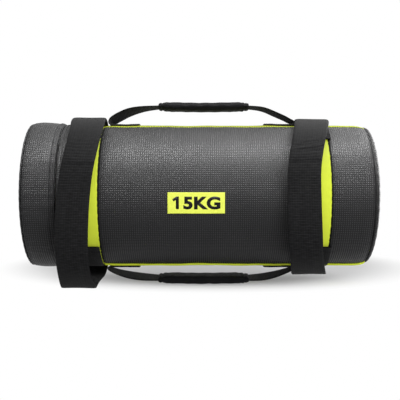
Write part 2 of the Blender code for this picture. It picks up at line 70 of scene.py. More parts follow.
def addNode(tree, kind, links=None, values=None, **settings):
    # one node with its settings, its unlinked values and its links, given by socket name or number
    node = tree.nodes.new("ShaderNode" + kind)
    for name, value in settings.items():
        setattr(node, name, value)
    for name, value in (values or {}).items():
        node.inputs[name].default_value = value
    for name, socket in (links or {}).items():
        tree.links.new(socket, node.inputs[name])
    return node


def newMaterial(name, **sockets):
    # a Principled material; even values go straight onto the shader's own sockets
    material = bpy.data.materials.new(name)
    material.use_nodes = True
    shader = material.node_tree.nodes["Principled BSDF"]
    for socket, value in sockets.items():
        shader.inputs[socket.replace("_", " ")].default_value = value
    return material, material.node_tree, shader


def feed(shader, socket, source):
    shader.id_data.links.new(source, shader.inputs[socket])


def ramp(factor, stops):
    # a colour ramp whose stops are place and colour (hex or grey)
    node = addNode(factor.id_data, "ValToRGB", {0: factor})
    marks = node.color_ramp.elements
    while len(marks) < len(stops):
        marks.new(0.5)
    for mark, (place, colour) in zip(marks, stops):
        mark.position = place
        mark.color = toLinear(colour) if isinstance(colour, str) else (colour, colour, colour, 1)
    return node.outputs[0]


def sums(operation, *terms, clamp=False):
    # a Math node whose terms are sockets or numbers
    links = {i: term for i, term in enumerate(terms) if isinstance(term, bpy.types.NodeSocket)}
    values = {i: term for i, term in enumerate(terms) if i not in links}
    return addNode(links[min(links)].id_data, "Math", links, values, operation=operation, use_clamp=clamp).outputs[0]


def vectors(operation, source, by=(0, 0, 0)):
    # a Vector Math node of a socket and a plain vector
    return addNode(source.id_data, "VectorMath", {0: source}, {1: by}, operation=operation).outputs


def clothPlace(tree):
    # the UV map "cloth", in metres
    return addNode(tree, "UVMap", uv_map="cloth").outputs[0]


def objectPlace(tree):
    return addNode(tree, "TexCoord").outputs["Object"]


def sineWaves(place, acrossPitch, alongPitch, half=False):
    # sine waves of the first two coordinates, -1 to 1, or 0 to 1 for "half"; pitches in metres
    turns = (2 * math.pi / acrossPitch, 2 * math.pi / alongPitch, 0)
    waves = vectors("SINE", vectors("MULTIPLY", place, turns)[0])[0]
    parts = addNode(place.id_data, "SeparateXYZ", {0: waves}).outputs[:2]
    return [sums("MULTIPLY_ADD", part, 0.5, 0.5) for part in parts] if half else parts


def cloudy(tree, size, detail=2.0, stretch=(1, 1, 1)):
    # soft noise on Object coordinates, its lumps of about the given size in metres
    mapped = addNode(tree, "Mapping", {"Vector": objectPlace(tree)}, {"Scale": stretch}).outputs[0]
    return addNode(tree, "TexNoise", {"Vector": mapped},
                   {"Scale": 1 / size, "Detail": detail, "Roughness": 0.6}).outputs[0]


def mixColour(factor, a, b):
    # two colours mixed; a and b are sockets or hex colours
    tones = {6: a, 7: b}
    links = {0: factor, **{i: tone for i, tone in tones.items() if not isinstance(tone, str)}}
    values = {i: toLinear(tone) for i, tone in tones.items() if isinstance(tone, str)}
    return addNode(factor.id_data, "Mix", links, values, data_type="RGBA").outputs[2]


def setBump(shader, height, depth, strength):
    # surface relief: height 0 to 1 stands for depth in metres
    bump = addNode(height.id_data, "Bump", {"Height": height}, {"Strength": strength, "Distance": depth})
    feed(shader, "Normal", bump.outputs[0])


# PVC-coated polyester with a calendered square dot emboss: each dot catches the light, the valleys stay matt. The
# dots are also coloured lighter than the valleys: a painted highlight on the dots and painted shade in the valleys.
embossedPvc = {
    "pitch": 0.00285, "dotDepth": 0.00038, "base": "#040405", "dot": "#262628",
    "scuffAndRimHighlight": "#2c2c2d", "seam": "#060607",
}


def makeEmbossedPvc():
    material, tree, shader = newMaterial("embossedPvcCloth", IOR=1.46, Specular_IOR_Level=0.31)
    waves = sineWaves(clothPlace(tree), embossedPvc["pitch"], embossedPvc["pitch"], half=True)
    dots = sums("MULTIPLY", *(ramp(wave, [(0.18, 0.0), (0.72, 1.0)]) for wave in waves))
    edge = addNode(tree, "Attribute", attribute_name="edge").outputs["Fac"]
    # paler scuff tone: wear near the seams, and on the end discs' rims a painted highlight
    wearAndRimHighlight = sums("MULTIPLY", ramp(edge, [(0.1, 0.0), (0.45, 1.0), (0.75, 0.0)]),
                ramp(cloudy(tree, 0.004, 3.0, (1, 0.35, 1)), [(0.45, 0.0), (0.72, 1.0)]))
    folded = ramp(edge, [(0.62, 0.0), (0.85, 1.0)])     # painted shade: the turned-in edge at a seam is coloured dark as shade in its crease, and made matt
    # painted highlight and painted shade: the dots are coloured lighter, the valleys darker
    colour = mixColour(dots, embossedPvc["base"], embossedPvc["dot"])
    colour = mixColour(sums("MULTIPLY", wearAndRimHighlight, 0.35), colour, embossedPvc["scuffAndRimHighlight"])
    feed(shader, "Base Color", mixColour(folded, colour, embossedPvc["seam"]))
    smudged = sums("MULTIPLY_ADD", cloudy(tree, 0.045, 4.0), 0.16, 0.29)
    valley = sums("MULTIPLY_ADD", dots, -0.32, 0.32)
    dull = sums("ADD", sums("MULTIPLY", wearAndRimHighlight, 0.15), sums("MULTIPLY_ADD", folded, 0.5, valley))
    feed(shader, "Roughness", sums("ADD", smudged, dull, clamp=True))
    setBump(shader, dots, embossedPvc["dotDepth"], 0.8)
    return material


# Smooth PVC-coated cloth, dyed lime: satin, with a faint weave showing through the coating; uneven in tone, and
# painted darker along its seams as painted shade
limePvc = {"pitch": 0.0012, "relief": 0.00004, "base": "#e0ef46", "deep": "#cad938"}


def makeLimePvc():
    material, tree, shader = newMaterial("limePvcCloth", IOR=1.46, Roughness=0.6, Specular_IOR_Level=0.07)
    weave = sums("MULTIPLY", *sineWaves(clothPlace(tree), limePvc["pitch"], limePvc["pitch"]))
    cloud = ramp(cloudy(tree, 0.03, 3.0), [(0.3, 0.0), (0.75, 1.0)])
    edge = addNode(tree, "Attribute", attribute_name="edge").outputs["Fac"]
    # uneven tone from the noise, plus painted shade along the seams from the edge value
    toneAndSeamShade = sums("ADD", sums("MULTIPLY", cloud, 0.25), sums("MULTIPLY", edge, 0.6), clamp=True)
    feed(shader, "Base Color", mixColour(toneAndSeamShade, limePvc["base"], limePvc["deep"]))
    setBump(shader, weave, limePvc["relief"], 0.5)
    return material


def makeGrained(name, size, tones, rough=None, relief=None, detail=2.0, **sockets):
    # fine noise gives the colour and, if named, the roughness; relief is grain size, depth and strength
    material, tree, shader = newMaterial(name, **sockets)
    grain = cloudy(tree, size, detail)
    feed(shader, "Base Color", ramp(grain, tones))
    if rough:
        feed(shader, "Roughness", ramp(grain, rough))
    if relief:
        setBump(shader, cloudy(tree, relief[0]), *relief[1:])
    return material


def makeCellular(name, size, tones, strength, loose=False, **sockets):
    # Voronoi cells give colour and relief; loose grains have a tone each
    material, tree, shader = newMaterial(name, **sockets)
    cells = addNode(tree, "TexVoronoi", {"Vector": objectPlace(tree)}, {"Scale": 1 / size}).outputs
    tone = addNode(tree, "SeparateColor", {0: cells["Color"]}).outputs[0] if loose else cells[0]
    feed(shader, "Base Color", ramp(tone, tones))
    setBump(shader, cells[0], 0.0004, strength)
    return material


# Woven polypropylene webbing: weft ribs across it, warp columns along it, soft low sheen. Its colour follows
# # the weave: crowns painted lighter and hollows darker, a painted highlight and painted shade, with an uneven
# mottle.
# # The zip's tape is woven the same way, finer.
webbing = {"base": "#09090a", "crown": "#29292a", "rib": 0.0021, "warp": 0.0032, "depth": 0.00036}
zipTape = {"base": "#0d0d0e", "crown": "#1c1c1d", "rib": 0.0012, "warp": 0.0016, "depth": 0.00012}


def makeWebbing(name, weave):
    material, tree, shader = newMaterial(name, IOR=1.45, Roughness=0.78, Specular_IOR_Level=0.08,
                                         Sheen_Weight=0.04, Sheen_Roughness=0.5)
    place = clothPlace(tree)
    columns, ribs = sineWaves(place, weave["warp"], weave["rib"], half=True)
    relief = sums("ADD", sums("MULTIPLY", ribs, 0.75), sums("MULTIPLY", columns, 0.25))
    mottle = addNode(tree, "Mapping", {"Vector": place}, {"Scale": (120, 700, 1)}).outputs[0]
    mottle = addNode(tree, "TexNoise", {"Vector": mottle}, {"Scale": 1.0, "Detail": 4.0}).outputs[0]
    # painted highlight on the weave's crowns and painted shade in its hollows
    tone = sums("MULTIPLY", relief, ramp(mottle, [(0.35, 0.15), (0.66, 1.0)]))
    feed(shader, "Base Color", mixColour(tone, weave["base"], weave["crown"]))
    height = sums("ADD", relief, sums("MULTIPLY", mottle, 0.35))
    setBump(shader, height, weave["depth"], 0.9)
    return material


# Grip cover: close-woven polyester over foam, dull, with fine crossing threads; thread crowns painted lighter and
# crumple hollows darker, a painted highlight and painted shade
gripCloth = {"thread": 0.0011, "relief": 0.00016, "base": "#0c0c0d", "crown": "#202022"}


def makeGripCloth():
    material, tree, shader = newMaterial("wovenGripCover", IOR=1.45, Roughness=0.76, Specular_IOR_Level=0.06,
                                         Sheen_Weight=0.04, Sheen_Roughness=0.5)
    crossed = sums("MULTIPLY", *sineWaves(objectPlace(tree), gripCloth["thread"], gripCloth["thread"]))
    weave = sums("MULTIPLY_ADD", crossed, 0.5, 0.5)
    crumple = cloudy(tree, 0.012, 4.0)
    # painted highlight on the thread crowns and painted shade in the crumples' hollows
    tone = sums("MULTIPLY", weave, ramp(crumple, [(0.3, 0.3), (0.7, 1.0)]))
    feed(shader, "Base Color", mixColour(tone, gripCloth["base"], gripCloth["crown"]))
    setBump(shader, sums("ADD", weave, sums("MULTIPLY", crumple, 2.0)), gripCloth["relief"], 0.8)
    return material


# Unbleached cotton canvas of the inner bag: plain weave with thicker threads here and there
canvas = {"pitch": 0.0018, "slub": 0.007, "relief": 0.00015, "deep": "#b3a88d", "base": "#d0c6ab"}


def makeCanvas():
    material, tree, shader = newMaterial("cottonCanvasLiner", IOR=1.45, Roughness=0.9, Specular_IOR_Level=0.2,
                                         Sheen_Weight=0.25)
    weave = sums("MULTIPLY", *sineWaves(clothPlace(tree), canvas["pitch"], canvas["pitch"]))
    slub = cloudy(tree, canvas["slub"], 4.0)
    feed(shader, "Base Color", ramp(slub, [(0.3, canvas["deep"]), (0.7, canvas["base"])]))
    setBump(shader, sums("ADD", weave, slub), canvas["relief"], 0.8)
    return material


finishes = {
    "pvc": (makeEmbossedPvc(), "embossed_pvc"),
    "lime": (makeLimePvc(), "lime_pvc"),
    # screen-printed plate: a flat ink film, brighter than the cloth under it
    "plate": (makeGrained("printedLimePlate", 0.0016, [(0.35, "#e9f35c"), (0.65, "#eff967")],
                          [(0.3, 0.44), (0.7, 0.54)], (0.0016, 0.00004, 0.4), IOR=1.48,
                          Specular_IOR_Level=0.15), "printed_plate"),
    # black printing ink: even and half matt
    "ink": (makeGrained("blackPrintedInk", 0.0012, [(0.3, "#0e0e0f"), (0.7, "#18181a")],
                        [(0.3, 0.42), (0.7, 0.55)], IOR=1.48, Specular_IOR_Level=0.1), "printed_plate"),
    "webbing": (makeWebbing("polypropyleneWebbing", webbing), "black_webbing"),
    "grip": (makeGripCloth(), "grip_cloth"),
    # spun polyester sewing thread: dull, a little fuzzy
    "thread": (makeGrained("blackSewingThread", 0.0007, [(0.3, "#101011"), (0.7, "#29292b")], IOR=1.45,
                           Roughness=0.7, Specular_IOR_Level=0.15, Sheen_Weight=0.05), "black_webbing"),
    "tape": (makeWebbing("nylonZipTape", zipTape), "zip_tape"),
    # nylon zip coil: smooth, smudged
    "coil": (makeGrained("nylonZipCoil", 0.0009, [(0.3, "#0c0c0d"), (0.7, "#19191b")],
                         [(0.3, 0.5), (0.7, 0.6)], IOR=1.53), "zip_tape"),
    # die-cast zinc, black nickel plate: satin, with paler patches where fingers rub it
    "metal": (makeGrained("blackNickelledZinc", 0.0040, [(0.35, "#3d3e41"), (0.70, "#6d6e72")],
                          [(0.3, 0.46), (0.75, 0.36)], (0.0009, 0.00001, 0.3), 3.0, Metallic=1.0), "zip_metal"),
    # open-cell polyurethane foam: pale grey, pitted all over, the pits coloured darker as painted shade
    "foam": (makeCellular("polyurethaneFoam", 0.0016, [(0.05, "#6f7073"), (0.6, "#9c9da0")], 0.7, IOR=1.45,
                          Roughness=0.95, Specular_IOR_Level=0.2), "padding"),
    "canvas": (makeCanvas(), "liner_cloth"),
    # moulded nylon cable tie: milky, light passes into it
    "tie": (makeGrained("naturalNylonTie", 0.004, [(0.3, "#cfcec3"), (0.7, "#e3e2d8")], IOR=1.53,
                        Roughness=0.38, Subsurface_Weight=0.15, Subsurface_Scale=0.002), "tie_nylon"),
    # silica sand: loose grains of several tans
    "sand": (makeCellular("silicaSand", 0.0013, [(0.1, "#a07d4f"), (0.9, "#d9c096")], 0.8, True, IOR=1.5,
                          Roughness=0.85, Specular_IOR_Level=0.4), "filling"),
}
print("materials made")


def around(x, angle, radius):
    # points of the bag: along it by x, round it by angle, at a radius from its axis
    x, angle, radius = np.broadcast_arrays(x, angle, radius)
    return np.stack([x, bag["axisY"] - radius * np.cos(angle), bag["axisZ"] + radius * np.sin(angle)], -1)


def smoothStep(value, low, high):
    share = np.clip((value - low) / (high - low), 0, 1)
    return share * share * (3 - 2 * share)


def bell(away, width):
    return np.exp(-(away / width) ** 2)


def fullTurn(count):
    # a column of angles all round, the last one short of the first
    return np.linspace(0, 2 * np.pi, count, endpoint=False)[:, None]


def paired(a, b):
    return np.stack(np.broadcast_arrays(a, b), -1)


def sag(angle):
    # the filling settles: the top sinks and the underside swells, and the back third keeps its round
    turn = np.abs(np.arctan2(np.sin(angle), np.cos(angle)))
    return -bag["sag"] * np.sin(angle) * smoothStep(turn, math.radians(118), math.radians(96))


# Slow swells of the filling: size, length along the bag, turns round it and phase. The straps and seams hold
# the bag round near the bands, from the first pair of places to the second.
swells = {"wide": (0.00036, 0.171, 0, 1.3), "rising": (0.00024, 0.083, 3, 2.1), "falling": (0.00014, 0.046, -4, 0.4),
          "heldFrom": (0.105, 0.125), "heldTo": (0.190, 0.205)}


def lumps(x, angle):
    # sum of size * sin(2 pi x / length + turns * angle + phase); the wide one also comes and goes round the bag
    rows = [swells[name] for name in ("wide", "rising", "falling")]
    wide, rising, falling = (size * np.sin(2 * np.pi * x / length + turns * angle + phase)
                             for size, length, turns, phase in rows)
    free = 1 - smoothStep(np.abs(x), *swells["heldFrom"]) + smoothStep(np.abs(x), *swells["heldTo"])
    return (wide * np.sin(2 * angle + 0.6) + rising + falling) * free


def puckers(along, fromSeam, pitch, size, reach):
    # cloth gathered by a seam: uneven waves along it, which die out with the distance from it
    wave = np.sin(2 * np.pi * along / pitch + 1.7 * np.sin(2 * np.pi * along / (pitch * 3.7)))
    wave = wave + 0.5 * np.sin(2 * np.pi * along / (pitch * 0.61) + 0.9)
    return size * wave * np.exp(-fromSeam / reach)


@contextmanager
def editing(mesh):
    shape = bmesh.new()
    shape.from_mesh(mesh)
    yield shape
    shape.to_mesh(mesh)
    shape.free()


edgeSteps = np.array((0, 0.0004, 0.0009, 0.0016, 0.0026, 0.004))


def stations(low, high, step, radius=1):
    # a row of places from edge to edge, close together near both edges; with a radius they are angles
    closing = edgeSteps / radius
    middle = np.linspace(low + closing[-1], high - closing[-1], max(3, int((high - low) / step)))
    return np.concatenate([low + closing[:-1], middle, high - closing[:-1][::-1]])[None]


def addSurface(name, grid, finish, cloth=None, wrapAcross=False, wrapAlong=False, edge=None, crease=50):
    # a mesh of quads on a grid of points; rows run along the piece, columns across it.
    # "cloth" holds each point's place on the flat cloth in metres, one more where the grid wraps.
    rows, cols = grid.shape[:2]
    down, over = np.meshgrid(np.arange(rows - (not wrapAlong)), np.arange(cols - (not wrapAcross)), indexing="ij")
    row = np.stack([down, down, down + 1, down + 1], -1).reshape(-1, 4)
    col = np.stack([over, over + 1, over + 1, over], -1).reshape(-1, 4)
    mesh = bpy.data.meshes.new(name)
    mesh.from_pydata(grid.reshape(-1, 3), [], (row % rows) * cols + col % cols)
    if cloth is not None:
        mesh.uv_layers.new(name="cloth").uv.foreach_set("vector", cloth[row, col].astype(np.float32).ravel())
    if edge is not None:
        values = np.broadcast_to(edge, (rows, cols)).astype(np.float32).ravel()
        mesh.attributes.new("edge", "FLOAT", "POINT").data.foreach_set("value", values)
    return closeUp(name, mesh, finish, crease)


def addObject(name, data):
    thing = bpy.data.objects.new(name, data)
    scene.collection.objects.link(thing)
    return thing


def closeUp(name, mesh, finish, crease=50):
    # merge seams and poles, turn the faces outwards, shade smooth with sharp folds, and give the finish
    with editing(mesh) as shape:
        bmesh.ops.remove_doubles(shape, verts=shape.verts, dist=1e-6)
        bmesh.ops.dissolve_degenerate(shape, edges=shape.edges, dist=1e-7)
        bmesh.ops.recalc_face_normals(shape, faces=shape.faces)
    mesh.shade_smooth()
    mesh.set_sharp_from_angle(angle=math.radians(crease))
    piece = addObject(name, mesh)
    material, slotName = finishes[finish]
    mesh.materials.append(material)
    return piece


def backed(piece, centreX, wall):
    # an open sheet round the bag's axis: its faces turned away from the axis, and a wall behind it
    centre = Vector((centreX, *axis[1:]))
    with editing(piece.data) as shape:
        if sum((face.calc_center_median() - centre).dot(face.normal) * face.calc_area() for face in shape.faces) < 0:
            bmesh.ops.reverse_faces(shape, faces=shape.faces)
    solid = piece.modifiers.new("wall", "SOLIDIFY")
    solid.thickness = wall
    solid.offset = -1
    solid.use_rim = True
    return piece


def settle(piece, body, *nodes):
    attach(piece, body)
    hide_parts(*nodes)
    return piece


def addSkin(name, x, angle, radius, finish, edge=None, whole=False, node=(), body="bag", wall=bag["skin"]):
    # a piece of the outer skin: radius over x (a row) and angle (a column)
    rim = np.vstack([angle, angle[:1] + 2 * np.pi]) if whole else angle
    cloth = paired(x, bag["radius"] * rim)
    piece = addSurface(name, around(x, angle, radius), finish, cloth, wrapAlong=whole, edge=edge)
    return settle(backed(piece, float(x.mean()), wall), body, *node)


# Panels: cloth between two seams, drawn down into each seam, full between them
panel = {
    "inner": bag["bandIn"] - bag["gap"], "outer": bag["bandOut"] + bag["gap"],
    "step": 0.0030, "turnStep": math.radians(1.7), "puff": 0.0007, "puffReach": 0.014,
    "dip": 0.0011, "dipReach": 0.0009, "pucker": 0.00022, "puckerPitch": 0.011, "puckerReach": 0.011,
    "edgeFade": 0.004, "welt": 0.0016,
}


def panelRadius(x, angle, fromSide, fromLong=1.0, swell=0.0):
    # radius = bag + settled filling + fullness away from the seams - seam valley + puckers
    full = panel["puff"] * (1 - np.exp(-np.minimum(fromSide, fromLong) / panel["puffReach"])) + swell
    valley = panel["dip"] * (bell(fromSide, panel["dipReach"]) + bell(fromLong, panel["dipReach"]))
    pitch, reach = panel["puckerPitch"], panel["puckerReach"]
    gather = puckers(angle * bag["radius"], fromSide, pitch, panel["pucker"], reach)
    gather = gather + puckers(x, fromLong, pitch * 1.3, panel["pucker"] * 0.5, reach)
    return bag["radius"] + sag(angle) + lumps(x, angle) + full - np.minimum(valley, panel["dip"]) + gather


def addPanel(name, low, high, start, end, finish, node, swell=0.0, endSwell=None, welt=0.0):
    x = stations(low, high, panel["step"])
    angle = stations(start, end, panel["turnStep"], bag["radius"]).T
    fromSide = np.minimum(x - low, high - x)
    fromLong = bag["radius"] * np.minimum(angle - start, end - angle)
    radius = panelRadius(x, angle, fromSide, fromLong, swell)
    radius = radius + welt * bell(fromLong - panel["welt"], panel["welt"])
    if endSwell is not None:
        radius = radius + endSwell(x)
        fromSide = np.minimum(x - low, 2.5 * (high - x))
    edge = np.maximum(np.exp(-fromSide / panel["edgeFade"]), np.exp(-fromLong / panel["edgeFade"]))
    addSkin(name, x, angle, radius, finish, edge=edge, node=(node,))


# The right end rounds over in its last 16 mm to its seam, which lies 5 mm short of the solids' seam
rightEnd = {"seam": 0.2343, "round": 0.016, "drop": 0.0034}
# The stripes' edges are turned over a cord, so they stand a little proud of the panels; 1 is the top one
stripeProud = {1: 0.0002, -1: 0.0012}
stripeWelt = {1: 0.0004, -1: 0.0016}


def rightRound(x):
    share = (x - (rightEnd["seam"] - rightEnd["round"])) / rightEnd["round"]
    return -rightEnd["drop"] * np.clip(share, 0, 1) ** 2.2


def addPanels():
    half, gap = bag["stripeHalf"], bag["gap"] / bag["radius"]
    inner, outer, right = panel["inner"], panel["outer"], rightEnd["seam"]
    sides = (("front", -quarter + half + gap, quarter - half - gap),
             ("back", quarter + half + gap, 3 * quarter - half - gap))
    for side, low, high in sides:
        addPanel(side + "PanelCloth", -inner, inner, low, high, "pvc", side + "_panel")
    for side, low, high in sides:
        addPanel(side + "EndCloth", outer, right, low, high, "pvc", side + "_end_panel", endSwell=rightRound)
    for name, side in (("top", 1), ("bottom", -1)):
        low, high, proud, welt = side * quarter - half, side * quarter + half, stripeProud[side], stripeWelt[side]
        addPanel(name + "StripeCloth", -inner, inner, low, high, "lime", name + "_stripe", proud, welt=welt)
        addPanel(name + "EndStripeCloth", outer, right, low, high, "lime", name + "_end_stripe", proud,
                 rightRound, welt)


# Lime bands: a full turn of smooth cloth, a little proud in the middle
band = {"swell": 0.0003, "step": 0.0022, "edgeFade": 0.002}


def addBands():
    angle = fullTurn(240)
    for name, low, high in (("left", -bag["bandOut"], -bag["bandIn"]), ("right", bag["bandIn"], bag["bandOut"])):
        x = stations(low, high, band["step"])
        fromSide = np.minimum(x - low, high - x)
        radius = panelRadius(x, angle, fromSide) - panel["puff"]
        radius = radius + band["swell"] * np.sin(np.pi * (x - low) / (high - low))
        edge = np.exp(-fromSide / band["edgeFade"])
        addSkin(name + "BandCloth", x, angle, radius, "lime", edge, True, (name + "_band",))


# Short sleeve on the bag's side of the zip, its edge turned under in a hem. A gather is its pitch, size and reach.
sleeve = {
    "hem": 0.0048, "hemRise": 0.0011, "hemFall": 0.0012, "lip": 0.0016, "turn": 0.0005, "groove": 0.0016,
    "wall": 0.0016, "step": 0.0016, "edgeFade": 0.0014, "seamFade": 0.003, "gather": (0.016, 0.0003, 0.008),
}
sleeveEdge = -bag["zip"] + sleeve["groove"] / 2
capEdge = -bag["zip"] - sleeve["groove"] / 2


def addLeftSleeve():
    x = stations(sleeveEdge, -panel["outer"], sleeve["step"])
    angle = fullTurn(240)
    fromBand = -panel["outer"] - x
    fromZip = x - sleeveEdge
    radius = panelRadius(x, angle, fromBand)
    hem = sleeve["hemRise"] * smoothStep(fromZip, sleeve["hem"] + sleeve["hemFall"], sleeve["hem"])
    roll = -sleeve["lip"] * bell(fromZip, sleeve["turn"])
    wave = puckers(angle * bag["radius"], fromZip, *sleeve["gather"])
    edge = np.maximum(np.exp(-fromBand / sleeve["seamFade"]), np.exp(-fromZip / sleeve["edgeFade"]))
    addSkin("leftSleeveCloth", x, angle, radius + hem + roll + wave, "pvc", edge, True, ("left_sleeve",),
            wall=sleeve["wall"])


# End cap: swells between its zip and its rim and widens to the rim; a hem with a sewn line beside the zip
cap = {
    "swell": 0.0028, "rimRise": 0.0015, "rim": 0.2376, "hem": 0.0068, "hemRise": 0.0010, "lip": 0.0018,
    "step": 0.0014, "sewnDip": 0.0008, "rimDip": 0.0014, "dipReach": 0.0011, "fold": 0.0005, "lumps": 0.6,
    "rimGather": (0.0125, 0.00032, 0.010), "zipGather": (0.019, 0.00035, 0.012),
}


def capRadius(x, angle):
    fromZip, fromRim = capEdge - x, cap["rim"] + x
    share = np.clip(fromZip / (cap["rim"] + capEdge), 0, 1)
    radius = bag["radius"] + cap["swell"] * (1 - np.abs(1 - 2 * share) ** 3) + cap["rimRise"] * share
    radius = radius + cap["hemRise"] * smoothStep(fromZip, cap["hem"] + sleeve["hemFall"], cap["hem"])
    radius = radius - cap["lip"] * bell(fromZip, sleeve["turn"])
    radius = radius - cap["sewnDip"] * bell(fromZip - cap["hem"] - sleeve["hemFall"], cap["dipReach"])
    radius = radius - cap["rimDip"] * bell(fromRim, cap["dipReach"])
    gather = puckers(angle * bag["radius"], fromRim, *cap["rimGather"])
    gather = gather + puckers(angle * bag["radius"] + 0.004, fromZip, *cap["zipGather"])
    folds = cap["fold"] * np.sin(3 * angle + 1.1 + x * 40) * np.sin(np.pi * share)
    return radius + gather + folds + cap["lumps"] * lumps(x, angle)


def addCapSleeve():
    x = -stations(-capEdge, cap["rim"], cap["step"])[:, ::-1]
    angle = fullTurn(260)
    edge = np.maximum(np.exp(-(capEdge - x) / sleeve["edgeFade"]), np.exp(-(cap["rim"] + x) / sleeve["seamFade"]))
    addSkin("capSleeveCloth", x, angle, capRadius(x, angle), "pvc", edge, True, ("cap_sleeve",), "end_cap",
            sleeve["wall"])


# End discs: crowned cloth drawn in at its rim, with small gathers from the seam. A disc is its seam's place,
# its radius, its crown and the crown's power; a piping is its place, radius, thickness and wobble.
disc = {
    "rings": 46, "spokes": 220, "gather": 0.0005, "gathers": 47, "swell": 0.0006, "edgeFade": 0.004,
    "cap": (0.2384, 0.1002, 0.0086, 0.62), "right": (0.2354, 0.0978, 0.0116, 0.42),
}
piping = {"cap": (0.2385, 0.1008, 0.0011, 0.00012), "right": (0.2349, 0.0968, 0.0012, 0.0002), "pitch": 0.012}


def addDisc(name, side, node, body):
    # x = seam + crown * (1 - (r / R)^2) ^ power, with the gathers and the slow swells of the filling
    seamX, radius, crown, power = disc[name]
    share = (np.sin(np.linspace(0, quarter, disc["rings"])) ** 0.9)[None, :]
    angle = fullTurn(disc["spokes"])
    rise = crown * (1 - share ** 2) ** power
    rise = rise + disc["swell"] * np.sin(2 * angle + 0.8) * share * (1 - share)
    wave = np.sin(disc["gathers"] * angle + 1.4 * np.sin(5 * angle) + side) * 0.6 + 0.4 * np.sin(29 * angle + 2)
    gather = disc["gather"] * wave * (share ** 8 * (1 - share ** 40))
    grid = around(side * (seamX + rise + gather), angle, radius * share)
    if side > 0:
        grid[..., 2] += sag(angle) * share ** 3 * np.sin(angle)
    turn = np.vstack([angle, [[2 * np.pi]]])
    cloth = paired(-radius * share * np.cos(turn), radius * share * np.sin(turn))
    # the rim's value stays under the seam's painted shade and in the scuff range: a painted highlight on the disc's
    # rim
    edge = 0.55 * np.exp(-radius * (1 - share) / disc["edgeFade"])
    piece = addSurface(name + "DiscCloth", grid, "pvc", cloth, wrapAlong=True, edge=edge)
    settle(backed(piece, 0, bag["skin"]), body, node)


def addPiping(name, side, node, body):
    # a cord sewn into a seam: a small tube round the bag that swells and narrows a little
    place, ringRadius, thick, wobble = piping[name]
    angle, turn = fullTurn(300), fullTurn(12).T
    along = angle * ringRadius
    tube = thick * (1 + 0.10 * np.sin(2 * np.pi * along / piping["pitch"]))
    centre = ringRadius + (sag(angle) if side > 0 else 0) + puckers(along, 0, 0.031, wobble, 1)
    grid = around(side * place + tube * np.cos(turn), angle, centre + tube * np.sin(turn))
    cloth = paired(np.append(angle, 2 * np.pi)[:, None] * ringRadius, np.append(turn, 2 * np.pi) * thick)
    cord = addSurface(name + "PipingCord", grid, "pvc", cloth, wrapAlong=True, wrapAcross=True, edge=0.5)
    settle(cord, body, node)


def addEnds():
    for name, side, body in (("cap", -1, "end_cap"), ("right", 1, "bag")):
        addDisc(name, side, name + "_disc", body)
        addPiping(name, side, name + "_piping", body)


# Dark lining under all the seams of the bag: a plain tube that the foam lies against. Both follow a share of
# the skin's sag and of its rounding at the right end.
lining = {"short": 0.004, "right": 0.2325, "under": 0.0015, "wall": 0.0004, "sag": 0.9, "round": 1.15}


def addLining():
    x = np.linspace(-bag["zip"] + lining["short"], lining["right"], 30)[None]
    angle = fullTurn(120)
    radius = bag["radius"] - lining["under"] + lining["sag"] * sag(angle) + lining["round"] * rightRound(x)
    addSkin("skinLining", x, angle, radius, "tape", whole=True, wall=lining["wall"])


addLining()
addPanels()
addBands()
addLeftSleeve()
addCapSleeve()
addEnds()
print("skin made")


def smoothPath(stops, samples):
    # a uniform quadratic spline inside its stops, with the first and last stop doubled
    stops = np.vstack([stops[:1], stops, stops[-1:]])
    place = np.linspace(0, len(stops) - 2, samples + 1)
    span = np.minimum(place.astype(int), len(stops) - 3)
    share = (place - span)[:, None]
    path = stops[span] * (1 - share) ** 2 / 2 + stops[span + 1] * (1 + 2 * share * (1 - share)) / 2
    path = path + stops[span + 2] * share ** 2 / 2
    path[0], path[-1] = stops[0], stops[-1]
    return path


def surfaceNormals(grid):
    # cross product of the grid's two directions, one unit arrow for each point
    arrows = np.cross(np.gradient(grid, axis=0), np.gradient(grid, axis=1))
    return arrows / np.maximum(np.linalg.norm(arrows, axis=2, keepdims=True), 1e-12)


def acrossShares(count):
    # places across a strap from -1 to 1, closer together near both selvedges
    return -np.cos(np.linspace(0, np.pi, count))


def addStrap(name, middle, thickness, outer=0.0, flip=False):
    # a strap around its middle surface: half the thickness each way, thinning to round selvedges,
    # "outer" adds cloth on the outer face only, and both ends close on the middle surface
    rows, cols = middle.shape[:2]
    share = acrossShares(cols)
    fade = (1 - np.abs(share) ** 10) ** 0.5
    half = np.broadcast_to(thickness / 2 * fade, (rows, cols))
    normal = surfaceNormals(middle) * (-1 if flip else 1)
    over = middle + normal * (half + outer * fade)[..., None]
    under = middle - normal * half[..., None]
    tube = np.concatenate([over, under[:, ::-1][:, 1:-1]], axis=1)
    flat = np.concatenate([middle, middle[:, ::-1][:, 1:-1]], axis=1)
    tube = np.concatenate([flat[:1], tube, flat[-1:]])
    along = np.cumsum(np.r_[0, np.linalg.norm(np.diff(middle[:, cols // 2], axis=0), axis=1)])
    along = np.r_[along[0], along, along[-1]]
    wide = np.linalg.norm(middle[rows // 2, -1] - middle[rows // 2, 0]) / 2 * share
    wide = np.r_[wide, wide[::-1][1:-1], wide[0]]
    return addSurface(name, tube, "webbing", paired(wide[None, :], along[:, None]), wrapAcross=True, crease=60)


